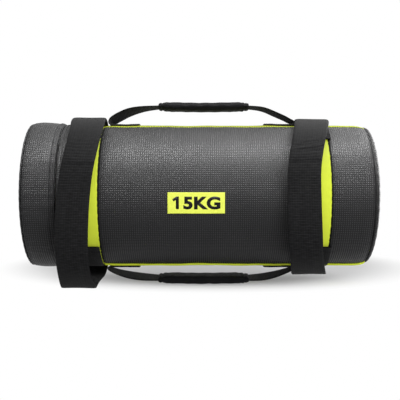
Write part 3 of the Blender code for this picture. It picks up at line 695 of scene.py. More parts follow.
# Carrying loops: the route of the frame's loops, with the lean and slack that the photograph shows.
# Stops are shares of the route's depth and height; shifts are sideways, one for each stop; a wave of the
# free strap is its size, its turns and its phase; the hollow after a fold is its depth as a share of the
# fold's, its distance and its reach.
loops = {
    "place": 0.1605, "width": 0.0475, "thickness": 0.0018, "seat": 0.1036, "sewn": math.radians(128),
    "sewnLength": 0.022, "hingeY": 0.0715, "frontRise": 0.017, "samples": 420, "across": 18, "lap": 0.0011,
    "narrow": 0.075, "front": (0.055, 0.108), "cup": 0.0012, "ripple": 0.00045, "ripples": 9,
    "seamLift": 0.0022, "pull": 0.0005, "pullReach": 0.0009, "lapEdge": 0.0005, "foldReach": 0.0013,
    "foldAfter": (0.6, 0.003, 0.0016), "blendFrom": 0.002, "blendTo": 0.018,
    "stops": ((0.26, 1.00), (-0.22, 0.99), (-0.81, 0.82), (-1.00, 0.40), (-1.00, 0.05), (-1.00, -0.35),
              (-0.90, -0.73), (-0.56, -0.985), (-0.26, -0.98), (0.09, -0.95), (0.43, -0.91)),
}
leftStrap = {
    "place": -loops["place"], "topRise": 0.0100, "drop": 0.1326, "twist": 0.06, "seams": (0.1706,),
    "waves": ((0.0006, 2.3, 0.4), (0.0005, 5.1, 1.2)), "fold": None,
    "shift": (-0.0010, 0.0038, 0.0112, 0.0012, -0.0048, -0.0072, -0.0088, -0.0066, -0.0080, -0.0078, -0.0050),
}
rightStrap = {
    "place": loops["place"], "topRise": 0.0078, "drop": 0.113, "twist": -0.05, "seams": (0.1746, 0.1855),
    "waves": ((0.0009, 3.2, 2.0), (0.0008, 6.3, 0.3)),
    "fold": (0.1960, 0.18, 0.0009),      # height, slope and depth of the pressed fold
    "shift": (0.0026, -0.0016, -0.0140, -0.0236, -0.0226, -0.0234, -0.0205, -0.0120, -0.0080, -0.0045, -0.0015),
}


def loopMiddle(strap):
    # the strap's middle surface, the path of its centre and its outward direction
    place, seat = strap["place"], loops["seat"]
    angle = loops["sewn"] + loops["sewnLength"] / 2 / seat * (1 - 2 * np.arange(4) / 3)
    sewn = np.stack([np.full(4, place), -seat * np.cos(angle), seat * np.sin(angle)], -1)
    depth, height = np.array(loops["stops"]).T
    reach = np.where(height > 0, bag["radius"] + strap["topRise"], strap["drop"] - loops["thickness"] / 2)
    free = np.stack([place + np.array(strap["shift"]), depth * (bag["radius"] + loops["frontRise"]),
                     height * reach], -1)
    path = smoothPath(np.vstack([sewn, free, (sewn * (1, 1, -1))[::-1]]), loops["samples"])
    share = np.linspace(0, 1, len(path))
    slack = np.sin(np.pi * share) ** 2
    for size, turns, phase in strap["waves"]:
        path[:, 0] += size * slack * np.sin(2 * np.pi * turns * share + phase)
    front = smoothStep(-path[:, 1], *loops["front"])
    half = loops["width"] / 2 * (1 - loops["narrow"] * front)
    across = acrossShares(loops["across"])
    run = np.gradient(path, axis=0)
    out = np.stack([0 * share, run[:, 2], -run[:, 1]], -1)
    out = out / np.linalg.norm(out, axis=1, keepdims=True)
    tilt = strap["twist"] * front
    side = np.stack([np.cos(tilt), 0 * share, 0 * share], -1) + out * np.sin(tilt)[:, None]
    middle = path[:, None] + side[:, None] * (half[:, None] * across)[..., None]
    cupped = -loops["cup"] * front[:, None] * across[None, :] ** 2
    # fine ripples run slantwise over the strap, with its last wave's phase
    wave = np.sin(2 * np.pi * loops["ripples"] * share[:, None] + 2.2 * across[None, :] + phase)
    bent = cupped + loops["ripple"] * slack[:, None] * wave
    return middle + out[:, None] * bent[..., None] + axis, path, out


def addLoop(name, node, strap):
    middle, path, out = loopMiddle(strap)
    height, seams = middle[..., 2], strap["seams"]
    inFront = middle[..., 1] < bag["axisY"] - 0.02
    overTop = (height > bag["axisZ"]) & (middle[..., 1] < bag["axisY"] + 0.05)
    outer = loops["lap"] * smoothStep(height, seams[0] - loops["lapEdge"], seams[0] + loops["lapEdge"]) * overTop
    sewnRows = []
    for seam in seams:                     # each sewn line pulls the webbing in, a little over the seam
        outer = outer - loops["pull"] * bell(height - seam - loops["seamLift"], loops["pullReach"]) * inFront
        row = int(np.argmin(np.abs(path[:, 2] + bag["axisZ"] - seam - loops["seamLift"]) + (path[:, 1] > -0.05)))
        sewnRows.append((middle[row], out[row]))
    if strap["fold"]:
        low, slope, depth = strap["fold"]
        line = height - low - slope * (middle[..., 0] - strap["place"])
        part, after, reach = loops["foldAfter"]
        outer = outer + depth * bell(line, loops["foldReach"]) * inFront
        outer = outer - part * depth * bell(line - after, reach) * inFront
    piece = addStrap(name, middle, loops["thickness"], outer)
    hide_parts(node)
    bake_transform(piece)
    return middle, sewnRows


# Base webbing: the same webbing sewn round the back of the bag, from one end seen in front to the other
base = {"from": math.radians(48), "to": math.radians(316), "rise": 0.0017, "fold": 0.0009, "foldReach": 0.004,
        "ripple": 0.00015, "leftLean": 0.0016, "leftNarrow": 0.955, "rightLean": -0.0050}


def addBaseWebbing(name, node, place, lean, narrow=1.0):
    angle = np.linspace(base["from"], base["to"], 250)[:, None]
    across = acrossShares(16) * loops["width"] / 2
    rise = base["rise"]
    for end in angle[[0, -1], 0]:          # it is folded under and thicker at both ends
        rise = rise + base["fold"] * bell((angle - end) * bag["radius"], base["foldReach"])
    radius = bag["radius"] + sag(angle) + rise + base["ripple"] * np.sin(14 * angle)
    inFront = smoothStep(np.cos(angle), -0.3, 0.6)
    middle = around(place + lean * inFront + across * (1 - (1 - narrow) * inFront), angle, radius)
    settle(addStrap(name, middle, loops["thickness"]), "bag", node)
    return middle


leftLoop = addLoop("leftCarryingLoop", "left_loop", leftStrap)
rightLoop = addLoop("rightCarryingLoop", "right_loop", rightStrap)
leftBase = addBaseWebbing("leftBaseWebbing", "left_base_webbing", -loops["place"], base["leftLean"],
                          base["leftNarrow"])
rightBase = addBaseWebbing("rightBaseWebbing", "right_base_webbing", loops["place"], base["rightLean"])
print("loops made")


# Grip straps: a tab sewn flat on the bag, folded back on itself, and up into the padded grip.
# A stop is its place along X, its height over the bag's axis, its half width, its hug and its roll.
handle = {
    "thickness": 0.0018, "across": 16, "samples": 150, "onBag": 0.1008, "hingeLeft": 0.1175, "hingeRight": 0.1225,
    "off": 0.0001, "blendFrom": 0.0002, "blendTo": 0.024, "boxFrom": 5, "boxTo": 0.80, "boxWide": 0.82,
    "sewnLeft": ((-0.0870, 0.1008, 0.0190, 1, 0), (-0.1000, 0.1008, 0.0190, 1, 0),
                 (-0.1150, 0.1008, 0.0190, 1, 0), (-0.1268, 0.1009, 0.0190, 1, 0)),
    "sewnRight": ((0.0920, 0.1008, 0.0190, 1, 0), (0.1050, 0.1008, 0.0190, 1, 0), (0.1200, 0.1008, 0.0190, 1, 0),
                  (0.1318, 0.1009, 0.0190, 1, 0), (0.1362, 0.1020, 0.0185, 0.8, 0.02)),
    "topLeft": ((-0.1312, 0.1020, 0.0185, 0.8, 0.08), (-0.1300, 0.1058, 0.0175, 0.4, 0.22),
                (-0.1240, 0.1088, 0.0165, 0.1, 0.33), (-0.1162, 0.1131, 0.0160, 0, 0.34),
                (-0.1020, 0.1199, 0.0175, 0, 0.24), (-0.0835, 0.1243, 0.0188, 0, 0.10),
                (-0.0640, 0.1262, 0.0188, 0, 0.02), (-0.0500, 0.1268, 0.0185, 0, 0)),
    "topRight": ((0.1345, 0.1050, 0.0180, 0.4, 0.05), (0.1285, 0.1072, 0.0175, 0.1, 0.07),
                 (0.1225, 0.1106, 0.0175, 0, 0.08), (0.1090, 0.1164, 0.0182, 0, 0.08),
                 (0.0930, 0.1236, 0.0188, 0, 0.05), (0.0790, 0.1258, 0.0188, 0, 0.02),
                 (0.0600, 0.1268, 0.0185, 0, 0)),
    "bottomLeft": ((-0.1316, 0.1022, 0.0185, 0.8, 0.02), (-0.1318, 0.1062, 0.0180, 0.4, 0.04),
                   (-0.1262, 0.1096, 0.0175, 0.1, 0.09), (-0.1170, 0.1132, 0.0172, 0, 0.15),
                   (-0.1020, 0.1170, 0.0180, 0, 0.20), (-0.0835, 0.1196, 0.0188, 0, 0.19),
                   (-0.0640, 0.1207, 0.0188, 0, 0.14), (-0.0500, 0.1213, 0.0185, 0, 0.11)),
    "bottomRight": ((0.1358, 0.1052, 0.0180, 0.4, 0.04), (0.1310, 0.1082, 0.0175, 0.1, 0.05),
                    (0.1225, 0.1116, 0.0172, 0, 0.11), (0.1080, 0.1162, 0.0180, 0, 0.16),
                    (0.0920, 0.1196, 0.0188, 0, 0.18), (0.0790, 0.1207, 0.0188, 0, 0.15),
                    (0.0600, 0.1213, 0.0185, 0, 0.11)),
}


def handleMiddle(stops, side):
    # the strap's middle surface: along its stops, bent with the bag by hug, turned about its run by roll
    path = smoothPath(np.array(stops, float), handle["samples"])
    x, height, half, hug, roll = path.T[:, :, None]
    q = acrossShares(handle["across"])[None, :] * half
    bed = bag["radius"] + panel["puff"] + stripeProud[side] + lumps(x, side * (quarter + q / bag["radius"]))
    height = height + hug * (bed + handle["thickness"] / 2 + handle["off"] - handle["onBag"])
    drop = (height - np.sqrt(height ** 2 - q ** 2)) * hug
    settled = sag(np.array(side * quarter)) * hug
    z = bag["axisZ"] + side * (height - drop + settled) - q * np.sin(roll) * side
    return np.stack(np.broadcast_arrays(x, bag["axisY"] + q * np.cos(roll), z), -1)


def addHandleStraps(end, side):
    # one strap is two pieces, parted where the swinging grip takes over from the sewn tab
    word = "Left" if end < 0 else "Right"
    level = "top" if side > 0 else "bottom"
    middle = handleMiddle(handle["sewn" + word] + handle[level + word], side)
    centre = middle[:, handle["across"] // 2]
    out = np.abs(centre[:, 0])
    fold = int(np.argmax(out))
    hinge = fold + int(np.argmax(out[fold:] < handle["hinge" + word]))
    flip = (end * side) > 0
    settle(addStrap(level + word + "SewnTab", middle[:hinge + 1], handle["thickness"], flip=flip), "bag",
           f"{level}_handle_{word.lower()}_tab")
    strap = addStrap(level + word + "GripWebbing", middle[hinge:], handle["thickness"], flip=flip)
    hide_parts(level + "_handle_webbing")
    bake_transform(strap)
    return middle[:fold]


tabs = {(side, end): addHandleStraps(end, side) for side in (1, -1) for end in (-1, 1)}
print("grip straps made")


# Padded grips: foam wrapped in cloth, swollen by a cloth simulation from a slightly smaller form
grip = {
    "low": -0.0605, "high": 0.0705, "half": 0.0190, "depth": 0.0048, "voxel": 0.0019, "power": 0.55,
    "most": 0.0011, "pressure": 4.0, "frames": 20, "bow": 0.0004, "step": 0.003, "fill": 0.8,
    "slim": 0.13, "slimReach": 0.0045, "thin": 0.12, "thinReach": 0.0035,
    "sewnLine": 0.0010, "sewnAt": 0.0062, "sewnReach": 0.0011, "welt": 0.0009, "weltAt": 0.0165, "weltReach": 0.0012,
    "weltFrom": 0.006, "crumple": 0.00030, "crumplePitch": 0.0093, "crumpleAt": 0.010, "crumpleReach": 0.009,
    "wrinkle": 0.00015, "wrinklePitch": 0.021,
    "topHeight": bag["axisZ"] + 0.1268, "topRoll": 0.0, "bottomHeight": bag["axisZ"] - 0.1213, "bottomRoll": 0.11,
}


def worked(piece):
    # a new mesh, the piece with its modifiers worked out
    return bpy.data.meshes.new_from_object(piece.evaluated_get(bpy.context.evaluated_depsgraph_get()))


def bake(piece):
    before, piece.data = piece.data, worked(piece)
    piece.modifiers.clear()
    bpy.data.meshes.remove(before)


def readPoints(mesh):
    points = np.zeros(len(mesh.vertices) * 3, np.float32)
    mesh.vertices.foreach_get("co", points)
    return points.reshape(-1, 3)


def writePoints(mesh, points):
    mesh.vertices.foreach_set("co", points.astype(np.float32).ravel())


def gripForm(height, roll):
    # a flattened tube: |cos|^power by |sin|^power across, drawn in over its last 9 mm and closed at both ends
    x = stations(grip["low"], grip["high"], grip["step"]).T
    turn = fullTurn(48).T
    fromEnd = np.minimum(x - grip["low"], grip["high"] - x)
    slim = 1 - grip["slim"] * bell(fromEnd, grip["slimReach"])
    across = np.sign(np.cos(turn)) * np.abs(np.cos(turn)) ** grip["power"] * grip["half"]
    up = np.sign(np.sin(turn)) * np.abs(np.sin(turn)) ** grip["power"] * grip["depth"]
    y = across * slim
    z = up * (1 - grip["thin"] * bell(fromEnd, grip["thinReach"]))
    bow = grip["bow"] * np.cos(np.pi * (x - grip["low"]) / (grip["high"] - grip["low"]) * 2)
    tube = np.stack([x + 0 * y, bag["axisY"] + y * np.cos(roll), height + z + bow + y * np.sin(roll)], -1)
    ends = tube[[0, -1]].mean(1, keepdims=True) + 0 * tube[[0, -1]]
    return np.concatenate([ends[:1], tube, ends[1:]])


def swell(piece):
    # Cloth with pressure and no gravity; no point may move further than "most"
    start = readPoints(piece.data)
    cloth = piece.modifiers.new("swell", "CLOTH")
    for setting, value in (("quality", 5), ("mass", 0.15), ("tension_stiffness", 12),
                           ("compression_stiffness", 8), ("bending_stiffness", 0.3), ("use_pressure", True),
                           ("uniform_pressure_force", grip["pressure"])):
        setattr(cloth.settings, setting, value)
    cloth.settings.effector_weights.gravity = 0
    cloth.collision_settings.use_collision = False
    cloth.point_cache.frame_start, cloth.point_cache.frame_end = 1, grip["frames"]
    for step in range(1, grip["frames"] + 1):
        scene.frame_set(step)
    moved = worked(piece)
    shift = readPoints(moved) - start
    far = np.linalg.norm(shift, axis=1, keepdims=True)
    piece.modifiers.remove(cloth)
    writePoints(piece.data, start + shift * np.minimum(1, grip["most"] / np.maximum(far, 1e-9)))
    bpy.data.meshes.remove(moved)
    scene.frame_set(1)


def gripDetail(points, height, side):
    # after the simulation: the sewn welt along the front edge, sewn lines at both ends, and crumples near them
    x, y, z = points[:, 0], points[:, 1] - bag["axisY"], points[:, 2] - height
    fromEnd = np.minimum(x - grip["low"], grip["high"] - x)
    line = grip["sewnLine"] * bell(fromEnd - grip["sewnAt"], grip["sewnReach"])
    near = np.exp(-np.abs(fromEnd - grip["crumpleAt"]) / grip["crumpleReach"])
    crumple = grip["crumple"] * np.sin(2 * np.pi * x / grip["crumplePitch"] + 60 * y + 3 * side) * near
    crumple = crumple + grip["wrinkle"] * np.sin(2 * np.pi * x / grip["wrinklePitch"] + 90 * y * side)
    welt = grip["welt"] * bell(y + grip["weltAt"], grip["weltReach"])
    points[:, 2] += np.sign(z) * (crumple - line - welt * (fromEnd > grip["weltFrom"]))
    return points


def addGrip(level, side):
    height = grip[level + "Height"]
    form = gripForm(height, grip[level + "Roll"])
    piece = addSurface(level + "PaddedGrip", form, "grip", wrapAcross=True, crease=180)
    remesh = piece.modifiers.new("even", "REMESH")
    remesh.mode = "VOXEL"
    remesh.voxel_size = grip["voxel"]
    bake(piece)
    swell(piece)
    subdivide = piece.modifiers.new("round", "SUBSURF")
    subdivide.levels = subdivide.render_levels = 1
    bake(piece)
    writePoints(piece.data, gripDetail(readPoints(piece.data), height, side))
    piece.data.shade_smooth()
    settle(piece, level + "_grip", level + "_handle_cover", level + "_handle_foam")


addGrip("top", 1)
addGrip("bottom", -1)
print("grips made")


# Weight plate on the front, with a plain weight mark; both follow the panel's curve. The figure 1 is a
# polygon, in shares of the mark's height and width, because the built-in font draws it as a bare stroke.
plate = {
    "width": 0.076, "height": 0.028, "drop": 0.0118, "aside": -0.0050, "thickness": 0.0004, "off": 0.0003,
    "markWidth": 0.0640, "markHeight": 0.0170, "inkThickness": 0.0002, "inkOff": 0.00045, "lettersShare": 0.765,
    "fromSeam": 0.06, "spacing": 1.06, "bold": 0.046,
    "one": ((0.090, 1.0), (0.142, 1.0), (0.142, 0.03), (0.080, 0.03), (0.080, 0.73), (0.033, 0.62),
            (0.004, 0.78)),
}


def panelSurface(x, angle):
    # the front panel's outer side under the plate, which lies well away from the seams
    full = panel["puff"] * (1 - np.exp(-plate["fromSeam"] / panel["puffReach"]))
    return bag["radius"] + sag(angle) + lumps(x, angle) + full


def addPlate():
    middle = -math.asin(plate["drop"] / bag["radius"])
    half = plate["height"] / 2 / bag["radius"]
    x = np.linspace(-plate["width"] / 2, plate["width"] / 2, 60)[None, :] + plate["aside"]
    angle = np.linspace(middle - half, middle + half, 30)[:, None]
    grid = around(x, angle, panelSurface(x, angle) + plate["thickness"] + plate["off"])
    settle(backed(addSurface("weightPlate", grid, "plate"), 0, plate["thickness"]), "bag", "weight_label")

    words = bpy.data.curves.new("weightMark", "FONT")
    words.body = "5KG"
    words.space_character = plate["spacing"]
    words.offset = plate["bold"]
    words.fill_mode = "FRONT"
    text = addObject("weightMark", words)
    mesh = worked(text)
    bpy.data.objects.remove(text)
    points = readPoints(mesh).astype(float)
    low, high = points.min(0), points.max(0)
    low[0] = high[0] - (high[0] - low[0]) / plate["lettersShare"]
    one = low + np.array([(u, v, 0) for u, v in plate["one"]]) * (high - low)
    with editing(mesh) as shape:
        shape.faces.new([shape.verts.new(point) for point in one])
        for cut in np.linspace(low[1], high[1], 12)[1:-1]:    # cut across, so that the mark bends with the bag
            everything = shape.verts[:] + shape.edges[:] + shape.faces[:]
            bmesh.ops.bisect_plane(shape, geom=everything, plane_co=(0, cut, 0), plane_no=(0, 1, 0))
        bmesh.ops.triangulate(shape, faces=shape.faces)
    scale = np.array([plate["markWidth"] / (high[0] - low[0]), plate["markHeight"] / (high[1] - low[1])])
    flat = (readPoints(mesh)[:, :2] - (low + high)[:2] / 2) * scale
    x, angle = flat[:, 0] + plate["aside"], middle + flat[:, 1] / bag["radius"]
    writePoints(mesh, around(x, angle, panelSurface(x, angle) + plate["thickness"] + plate["inkOff"]))
    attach(backed(closeUp("weightMark", mesh, "ink"), 0, plate["inkThickness"]), "bag")


# Sewing: each stitch is a short thread, round in section and dipping into the cloth at both ends
thread = {"pitch": 0.0034, "length": 0.0026, "radius": 0.00028, "sides": 5, "rings": 4, "taper": 0.55,
          "proud": 0.6, "arch": 0.00035, "fromSeam": 0.0028, "fromEnd": 0.0032, "fromStripe": 0.0030,
          "fromLip": 0.0040, "fromCapLip": (0.0036, 0.0056), "fromRim": 0.0040, "longEnd": 0.004,
          "tabSpacing": 0.9, "webbingSpacing": 0.8, "lapSize": 0.85}


def tubeFaces(rings, sides, count):
    # faces of a number of closed tubes, one after the other: rings of quads, then both caps
    ring, corner = np.meshgrid(np.arange(rings - 1), np.arange(sides), indexing="ij")
    here, ahead = ring * sides, (corner + 1) % sides
    quads = np.stack([here + corner, here + ahead, here + sides + ahead, here + sides + corner], -1)
    caps = np.array([np.arange(sides)[::-1], np.arange(sides) + (rings - 1) * sides])
    offset = np.arange(count)[:, None, None] * rings * sides
    return ((quads.reshape(-1, 4)[None] + offset).reshape(-1, 4).tolist()
            + (caps[None] + offset).reshape(-1, sides).tolist())


def addStitches(name, rows, body="bag", size=1.0):
    # a copy of one small thread at every place: along its run, arched out along its outward direction
    places, runs, outs = [np.concatenate(parts) for parts in zip(*rows)]
    share = np.linspace(-1, 1, thread["rings"])
    turn = fullTurn(thread["sides"])[:, 0]
    r = thread["radius"] * size * np.sqrt(1 - thread["taper"] * share ** 2)[:, None]
    lift = (thread["proud"] * thread["radius"] * size - thread["arch"] * share ** 2 * size)[:, None]
    along = (share * thread["length"] / 2 * size)[:, None] + 0 * turn
    runs = runs / np.linalg.norm(runs, axis=1, keepdims=True)
    outs = outs / np.linalg.norm(outs, axis=1, keepdims=True)
    local = np.stack([along, r * np.cos(turn), lift + r * np.sin(turn)], -1).reshape(-1, 3)
    points = (places[:, None] + local[None, :, :1] * runs[:, None]
              + local[None, :, 1:2] * np.cross(runs, outs)[:, None] + local[None, :, 2:] * outs[:, None])
    mesh = bpy.data.meshes.new(name)
    mesh.from_pydata(points.reshape(-1, 3), [], tubeFaces(thread["rings"], thread["sides"], len(places)))
    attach(closeUp(name, mesh, "thread", 60), body)


def stitchRow(line, spacing=1.0, lift=0.0, away=None):
    # places at an even pitch along a line of points, the run there, and the way out of the cloth
    pitch = thread["pitch"] * spacing
    steps = np.r_[0, np.cumsum(np.linalg.norm(np.diff(line, axis=0), axis=1))]
    at = np.arange(pitch / 2, steps[-1], pitch)
    places, ahead, behind = (np.stack([np.interp(at + move, steps, line[:, i]) for i in range(3)], -1)
                             for move in (0, pitch / 4, -pitch / 4))
    away = (places - axis) * (0, 1, 1) if away is None else np.tile(away, (len(places), 1))
    return places + away / np.linalg.norm(away, axis=1, keepdims=True) * lift, ahead - behind, away


def ringRow(x, radiusOf):
    angle = np.linspace(0, 2 * np.pi, 420)
    return stitchRow(around(x, angle, radiusOf(x, angle)))


def middleRadius(x, angle):
    return panelRadius(x, angle, np.minimum(x + panel["inner"], panel["inner"] - x))


def endRadius(x, angle):
    return panelRadius(x, angle, np.minimum(x - panel["outer"], rightEnd["seam"] - x)) + rightRound(x)


def hemRadius(x, angle):
    return bag["radius"] + sleeve["hemRise"] + panel["puff"] + sag(angle)


def addSewing():
    inner, outer, right = panel["inner"], panel["outer"], rightEnd["seam"]
    addStitches("skinTopstitch", [
        ringRow(-(inner - thread["fromSeam"]), middleRadius), ringRow(inner - thread["fromSeam"], middleRadius),
        ringRow(outer + thread["fromSeam"], endRadius), ringRow(right - thread["fromEnd"], endRadius),
        ringRow(sleeveEdge + thread["fromLip"], hemRadius)])
    capRows = [capEdge - away for away in thread["fromCapLip"]] + [-cap["rim"] + thread["fromRim"]]
    addStitches("capTopstitch", [ringRow(x, capRadius) for x in capRows], "end_cap")
    # long seams beside the stripes
    rows = []
    for middle in (quarter, -quarter):
        for sign in (-1, 1):
            angle = middle + sign * (bag["stripeHalf"] + thread["fromStripe"] / bag["radius"])
            for start, end, radiusOf in ((-inner, inner, middleRadius), (outer, right, endRadius)):
                x = np.linspace(start + thread["longEnd"], end - thread["longEnd"], 160)
                rows.append(stitchRow(around(x, angle, radiusOf(x, angle))))
    addStitches("stripeTopstitch", rows)
    addStitches("tabStitching", [stitchRow(line, thread["tabSpacing"]) for (side, end), middle in tabs.items()
                                 for line in tabBox(middle, side)])


def tabBox(middle, side):
    # the sewn box on a tab and its two diagonals: from and to, as row and share across of the tab's grid
    share, part = acrossShares(handle["across"]), np.linspace(0, 1, 40)
    start, end, wide = handle["boxFrom"], int(len(middle) * handle["boxTo"]), handle["boxWide"]
    lines = []
    for row, place, lastRow, lastPlace in (
            (start, -wide, start, wide), (end, -wide, end, wide), (start, -wide, end, -wide),
            (start, wide, end, wide), (start, -wide, end, wide), (start, wide, end, -wide)):
        rows = (row + (lastRow - row) * part).astype(int)
        places = place + (lastPlace - place) * part
        line = [[np.interp(p, share, middle[r, :, i]) for i in range(3)] for r, p in zip(rows, places)]
        lines.append(np.array(line) + (0, 0, side * (handle["thickness"] / 2 + handle["off"])))
    return lines


def addLoopSewing():
    # cross rows on each loop's lap; these ride with the loop, well past its blend
    half, spacing = loops["thickness"] / 2, thread["webbingSpacing"]
    for name, body, (middle, sewnRows) in (("leftLoopStitching", "left_strap", leftLoop),
                                           ("rightLoopStitching", "right_strap", rightLoop)):
        addStitches(name, [stitchRow(line[1:-1], spacing, half + loops["lap"] * 0.6, away)
                           for line, away in sewnRows], body, thread["lapSize"])
    # two rows across each end of the loops and of the base webbing, on the bag
    for name, middles, at in (("loopEndStitching", (leftLoop[0], rightLoop[0]), (8, 48, -9, -49)),
                              ("baseWebbingStitching", (leftBase, rightBase), (3, 6, -4, -7))):
        addStitches(name, [stitchRow(middle[row, 1:-1], spacing, half) for middle in middles for row in at])


addPlate()
addSewing()
addLoopSewing()
print("plate and sewing made")


# Zip: a woven tape under each lip and half of the nylon coil on each, in the groove between bag and cap
zipper = {"tapeOuter": 0.0985, "tape": 0.0008, "width": 0.012, "gap": 0.0006, "pitch": 0.0020, "tooth": 0.0006,
          "reach": 0.0016, "start": math.radians(194), "run": math.radians(330), "rings": 7, "sides": 6,
          "ripple": 0.0001, "lift": 0.0002, "height": 0.0009, "back": 0.0003, "bevel": 0.00018}


def addZipSide(name, side, node, body):
    edge, outer = -bag["zip"] + side * zipper["gap"] / 2, zipper["tapeOuter"]
    x, angle = np.linspace(edge, edge + side * zipper["width"], 10)[None], fullTurn(200)
    radius = outer - zipper["lift"] + zipper["ripple"] * np.sin(40 * angle)
    addSkin(name + "ZipTape", x, angle, radius, "tape", None, True, (node,), body, zipper["tape"])
    # coil: one bent wire per tooth, an arch from the tape over the edge, every second pitch on each side
    angle = zipper["start"] + np.arange(0, zipper["run"], zipper["pitch"] / outer)
    angle = angle + (0.5 * zipper["pitch"] / outer if side > 0 else 0)
    turn = np.linspace(0, np.pi, zipper["rings"])[:, None]
    wire = fullTurn(zipper["sides"])[:, 0]
    reach, swing = zipper["reach"], zipper["tooth"] / 2
    centreX = edge + side * (reach * 0.55 + reach * 0.75 * np.cos(turn)) - side * zipper["back"]
    px = centreX - side * np.cos(turn) * swing * np.cos(wire)
    pr = outer + zipper["lift"] + zipper["height"] * np.sin(turn) + np.sin(turn) * swing * np.cos(wire)
    pa = swing * np.sin(wire) / outer
    points = around(px[None], angle[:, None, None] + pa, pr[None])
    mesh = bpy.data.meshes.new(name + "ZipCoil")
    mesh.from_pydata(points.reshape(-1, 3), [], tubeFaces(zipper["rings"], zipper["sides"], len(angle)))
    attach(closeUp(name + "ZipCoil", mesh, "coil"), body)


# Cap hinge: the cloth left uncut at the back, where the cap opens
hinge = {"lap": 0.0012, "from": math.radians(166), "to": math.radians(192), "sink": 0.0009, "wall": 0.0008,
         "pivotY": 0.1114}


def addCapHinge():
    low, high = capEdge - hinge["lap"], sleeveEdge + hinge["lap"]
    x = np.linspace(low, high, 14)[None, :]
    angle = np.linspace(hinge["from"], hinge["to"], 30)[:, None]
    sink = hinge["sink"] * np.cos(np.pi * (x - low) / (high - low) * 2)
    grid = around(x, angle, bag["radius"] - hinge["sink"] + sink)
    piece = addSurface("capHingeCloth", grid, "pvc", paired(x, bag["radius"] * angle), edge=0.3)
    backed(piece, -bag["zip"], hinge["wall"])
    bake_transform(piece)


def addMetal(name, node, body):
    # a metal piece of the frame, with softened edges: merged, bevelled and finished
    piece = addObject(name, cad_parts[node].data.copy())
    with editing(piece.data) as shape:
        bmesh.ops.remove_doubles(shape, verts=shape.verts, dist=1e-6)
        bmesh.ops.dissolve_limit(shape, angle_limit=math.radians(1), verts=shape.verts, edges=shape.edges)
    piece.data.materials.clear()
    piece.data.materials.append(finishes["metal"][0])
    soft = piece.modifiers.new("edges", "BEVEL")
    soft.width = zipper["bevel"]
    soft.segments = 2
    soft.limit_method = "ANGLE"
    piece.data.shade_smooth()
    piece.data.set_sharp_from_angle(angle=math.radians(35))
    settle(piece, body, node)


addZipSide("bag", 1, "zip_tape_bag", "bag")
addZipSide("cap", -1, "zip_tape_cap", "end_cap")
addCapHinge()
addMetal("zipSliderBody", "zip_slider", "slider")
addMetal("zipPullTab", "zip_pull", "pull_tab")
print("zip made")


# Inside, seen when the cap is open: the liner with its gathered neck and tie, foam sheets, and the sand
inside = {
    "radius": 0.0931, "left": 0.214, "corner": 0.021, "neck": 0.0165, "mouth": 0.2265, "right": 0.2300,
    "folds": 13, "foldDepth": 0.0022, "foldShare": 0.55, "foldBack": 0.0020, "foldsFull": 0.05, "lean": 0.0005,
    "drawn": 0.0030, "drawnAt": 0.0075, "drawnReach": 0.0028, "liner": 0.0007,
    "tie": 0.0078, "tieHalf": 0.0022, "tieThick": 0.0007, "tieRib": 0.00015, "tieSunk": 0.0006,
    "head": (0.0056, 0.0048, 0.0062), "headOut": 0.0014, "headEdge": 0.0007,
    "foamOuter": 0.0977, "foamInner": 0.0936, "foamLeft": 0.1765, "foamBend": 0.200, "foamRight": 0.2270,
    "foamRound": 0.0024, "foamRough": 0.00025, "fill": 0.5, "padRadius": 0.0955, "padBack": 0.2310,
    "padCrown": 0.0070, "padRipple": 0.0004, "capPad": 0.2370, "rightPad": 0.2340,
}


def addLiner():
    # turned outline from the right end over the shoulder to the neck; folds run into the tie and fan out past it
    radius, left, corner, neck, lean = (inside[key] for key in ("radius", "left", "corner", "neck", "lean"))
    shoulder = np.linspace(0, quarter, 26)
    x = np.r_[np.linspace(inside["right"], -left + corner, 30)[:-1], -left + corner * (1 - np.sin(shoulder)),
              np.linspace(-left, -left - lean, 24)[1:], np.linspace(-left - lean, -inside["mouth"], 16)[1:]]
    r = np.r_[np.full(29, radius), radius - corner * (1 - np.cos(shoulder)),
              np.linspace(radius - corner, neck, 24)[1:], np.full(15, neck)]
    tie = bell(-x - left - inside["drawnAt"], inside["drawnReach"])
    r = r - inside["drawn"] * tie
    angle = fullTurn(260).T
    gathered = np.clip((radius - r) / inside["foldsFull"], 0, 1)[:, None]
    wave = np.sin(inside["folds"] * angle + 1.3 * np.sin(3 * angle)) + 0.5 * np.sin(29 * angle + 1)
    deep = (inside["foldDepth"] * gathered * (1 - 0.5 * tie[:, None])) * wave
    # on the face the folds only stand out, clear of the sand behind them
    onFace = ((r > neck + 0.001) & (x < -left + 0.012))[:, None]
    proud = np.where(onFace, inside["foldShare"] * deep - inside["foldBack"] * gathered, 0)
    grid = around(x[:, None] + proud, angle, r[:, None] + np.where(onFace, 0, inside["foldShare"] * deep))
    grid = np.concatenate([grid[:1].mean(1, keepdims=True) + 0 * grid[:1], grid])
    along = np.cumsum(np.r_[0, 0.05, np.hypot(np.diff(x), np.diff(r))])
    cloth = paired(np.append(angle, 2 * np.pi)[None, :] * 0.06, along[:, None])
    piece = addSurface("sandLiner", grid, "canvas", cloth, wrapAcross=True)
    settle(backed(piece, 0, inside["liner"]), "bag", "liner")


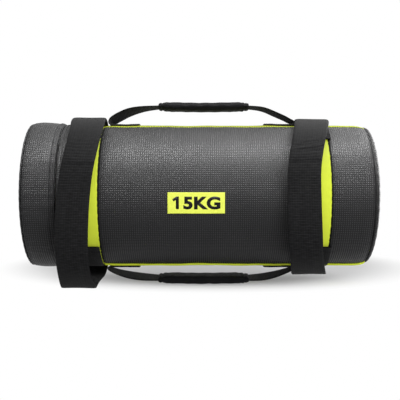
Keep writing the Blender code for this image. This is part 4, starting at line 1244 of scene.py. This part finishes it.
def addTie():
    # a ribbed band pulled round the neck, with its square head
    angle, turn = fullTurn(120), fullTurn(16).T
    wide = inside["tieHalf"] * np.sign(np.cos(turn)) * np.abs(np.cos(turn)) ** 0.35
    thick = inside["tieThick"] * np.sign(np.sin(turn)) * np.abs(np.sin(turn)) ** 0.5
    place = -inside["left"] - inside["tie"]
    radius = inside["neck"] - inside["tieSunk"] + thick + inside["tieRib"] * np.sin(60 * angle)
    grid = around(place + wide, angle, radius)
    settle(addSurface("linerNylonTie", grid, "tie", wrapAlong=True, wrapAcross=True), "bag", "liner_tie")
    head = bpy.data.meshes.new("linerTieHead")
    middle = (place, bag["axisY"] - inside["neck"] - inside["headOut"], bag["axisZ"])
    with editing(head) as shape:
        bmesh.ops.create_cube(shape, size=1)
        bmesh.ops.scale(shape, vec=inside["head"], verts=shape.verts)
        bmesh.ops.bevel(shape, geom=shape.edges[:], offset=inside["headEdge"], segments=3, affect="EDGES")
        bmesh.ops.translate(shape, vec=middle, verts=shape.verts)
    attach(closeUp("linerTieHead", head, "tie"), "bag")


def addFoamPiece(name, grid, body, node):
    piece = addSurface(name, grid, "foam", wrapAlong=True, wrapAcross=True)
    settle(piece, body, node)


def addFoam():
    # foam sheet between liner and skin, its cut edge rounded; one disc behind each end
    outer, inner, rounded = inside["foamOuter"], inside["foamInner"], inside["foamRound"]
    turn = np.linspace(quarter, 3 * quarter, 9)
    last = np.linspace(inside["foamRight"], inside["foamBend"], 9)
    x = np.r_[last, -inside["foamLeft"] + rounded * np.cos(turn) + rounded, inside["foamRight"]]
    curved = (outer + inner) / 2 + (outer - inner) / 2 * np.sin(turn)
    r = np.r_[outer + lining["round"] * rightRound(last), curved, inner]
    isOuter = np.r_[np.ones(9), np.clip(np.sin(turn), 0, 1), 0]
    angle = fullTurn(180)
    rough = inside["foamRough"] * np.sin(23 * angle + 2 * np.sin(7 * angle))
    grid = around(x + rough, angle, r + lining["sag"] * sag(angle) * isOuter)
    addFoamPiece("foamSleeveSheet", grid, "bag", "foam_sleeve")
    share = np.linspace(0, 1, 16)
    r = inside["padRadius"] * np.r_[share, share[::-1]]
    ripple = inside["padRipple"] * np.sin(9 * angle) * np.r_[0 * share, np.sin(np.pi * share[::-1])]
    for name, side, body in (("cap", -1, "end_cap"), ("right", 1, "bag")):
        front = side * (inside[name + "Pad"] + inside["padCrown"] * (1 - share ** 2) ** 0.5)
        edge = np.r_[front, np.full(16, side * inside["padBack"])]
        addFoamPiece(name + "FoamPad", around(edge + side * ripple, angle, r), body, name + "_foam")


addLiner()
addTie()
addFoam()
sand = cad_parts["sand_fill"].data.materials
sand.clear()
sand.append(finishes["sand"][0])
print("inside made")


# Studio: level camera 1.1 m in front of the bag's axis. The soft and the front lamp light colours; the
# shine and the side strip are seen in gloss only. A lamp is power, size and place.
studio = {
    "cameraPlace": (0.0, -1.0929, 0.123), "lens": 68.1, "aim": (0, 0, 0.13),
    "softLamp": (6, (2.4, 0.8), (0.2, -0.45, 1.60)), "frontLamp": (22, (1.2, 0.8), (1.0, -1.8, 0.50)),
    "shineStrip": (167, (2.6, 0.46), (0.25, -0.40, 1.60)), "sideStrip": (46, (0.8, 1.5), (1.5, 1.10, 0.60)),
    "world": 0.54, "floor": "#e6e6e6", "glow": 0.03, "shadeCentre": (0.02, 0.40, 0), "shadeScale": (1.25, 1, 1),
    "shadeFrom": 0.32, "shadeTo": 0.51,
}
white = (1, 1, 1, 1)


def addLamp(name):
    power, size, place = studio[name]
    light = bpy.data.lights.new(name, "AREA")
    light.shape = "RECTANGLE"
    light.size, light.size_y = size
    light.energy = power
    lamp = addObject(name, light)
    lamp.visible_camera = False
    lamp.visible_diffuse = name.endswith("Lamp")
    lamp.location = place
    away = np.array(studio["aim"], float) - np.array(place, float)
    flat = math.hypot(away[0], away[1])
    lamp.rotation_euler = (math.atan2(flat, -away[2]), 0, math.atan2(away[1], away[0]) - quarter)


def backgroundRay(tree):
    # 1 for rays that should see the plain background: camera, mirror-like and through-glass rays
    path = addNode(tree, "LightPath").outputs
    seen = sums("MAXIMUM", path["Is Camera Ray"], path["Is Glossy Ray"])
    return sums("MAXIMUM", seen, path["Is Transmission Ray"])


def emptyTree(owner):
    owner.use_nodes = True
    owner.node_tree.nodes.clear()
    return owner.node_tree


def addStudio():
    camera = addObject("camera", bpy.data.cameras.new("camera"))
    camera.location = studio["cameraPlace"]
    camera.rotation_euler = (quarter, 0, 0)
    camera.data.lens = studio["lens"]
    camera.data.sensor_width = 36
    camera.data.clip_start, camera.data.clip_end = 0.05, 60
    scene.camera = camera
    for name in ("softLamp", "frontLamp", "shineStrip", "sideStrip"):
        addLamp(name)

    scene.world = bpy.data.worlds.new("studio")
    tree = emptyTree(scene.world)
    soft = addNode(tree, "Background", values={"Color": white, "Strength": studio["world"]})
    plain = addNode(tree, "Background", values={"Color": white, "Strength": 1.0})
    mix = addNode(tree, "MixShader", {0: backgroundRay(tree), 1: soft.outputs[0], 2: plain.outputs[0]})
    addNode(tree, "OutputWorld", {0: mix.outputs[0]})

    # painted pale floor, plain; for camera and gloss rays it glows, a little near the bag and fully white far from
    # it, a painted brightness that hides the real shadow outside an ellipse behind the bag
    material = bpy.data.materials.new("palePaintedFloor")
    tree = emptyTree(material)
    paint = addNode(tree, "BsdfDiffuse", values={"Color": toLinear(studio["floor"])})
    glow = addNode(tree, "Emission", values={"Color": white, "Strength": 1.0})
    away = vectors("SUBTRACT", objectPlace(tree), studio["shadeCentre"])[0]
    away = vectors("MULTIPLY", away, studio["shadeScale"])[0]
    far = vectors("LENGTH", away)["Value"]
    spread = addNode(tree, "MapRange", {0: far}, {1: studio["shadeFrom"], 2: studio["shadeTo"], 3: studio["glow"]},
                     interpolation_type="SMOOTHSTEP").outputs[0]
    share = sums("MULTIPLY", backgroundRay(tree), spread)
    mix = addNode(tree, "MixShader", {0: share, 1: paint.outputs[0], 2: glow.outputs[0]})
    addNode(tree, "OutputMaterial", {0: mix.outputs[0]})
    mesh = bpy.data.meshes.new("studioFloor")
    mesh.from_pydata([(-12, -12, 0), (12, -12, 0), (12, 12, 0), (-12, 12, 0)], [], [(0, 1, 2, 3)])
    mesh.materials.append(material)
    addObject("studioFloor", mesh)
    scene.view_settings.view_transform = "Standard"


addStudio()
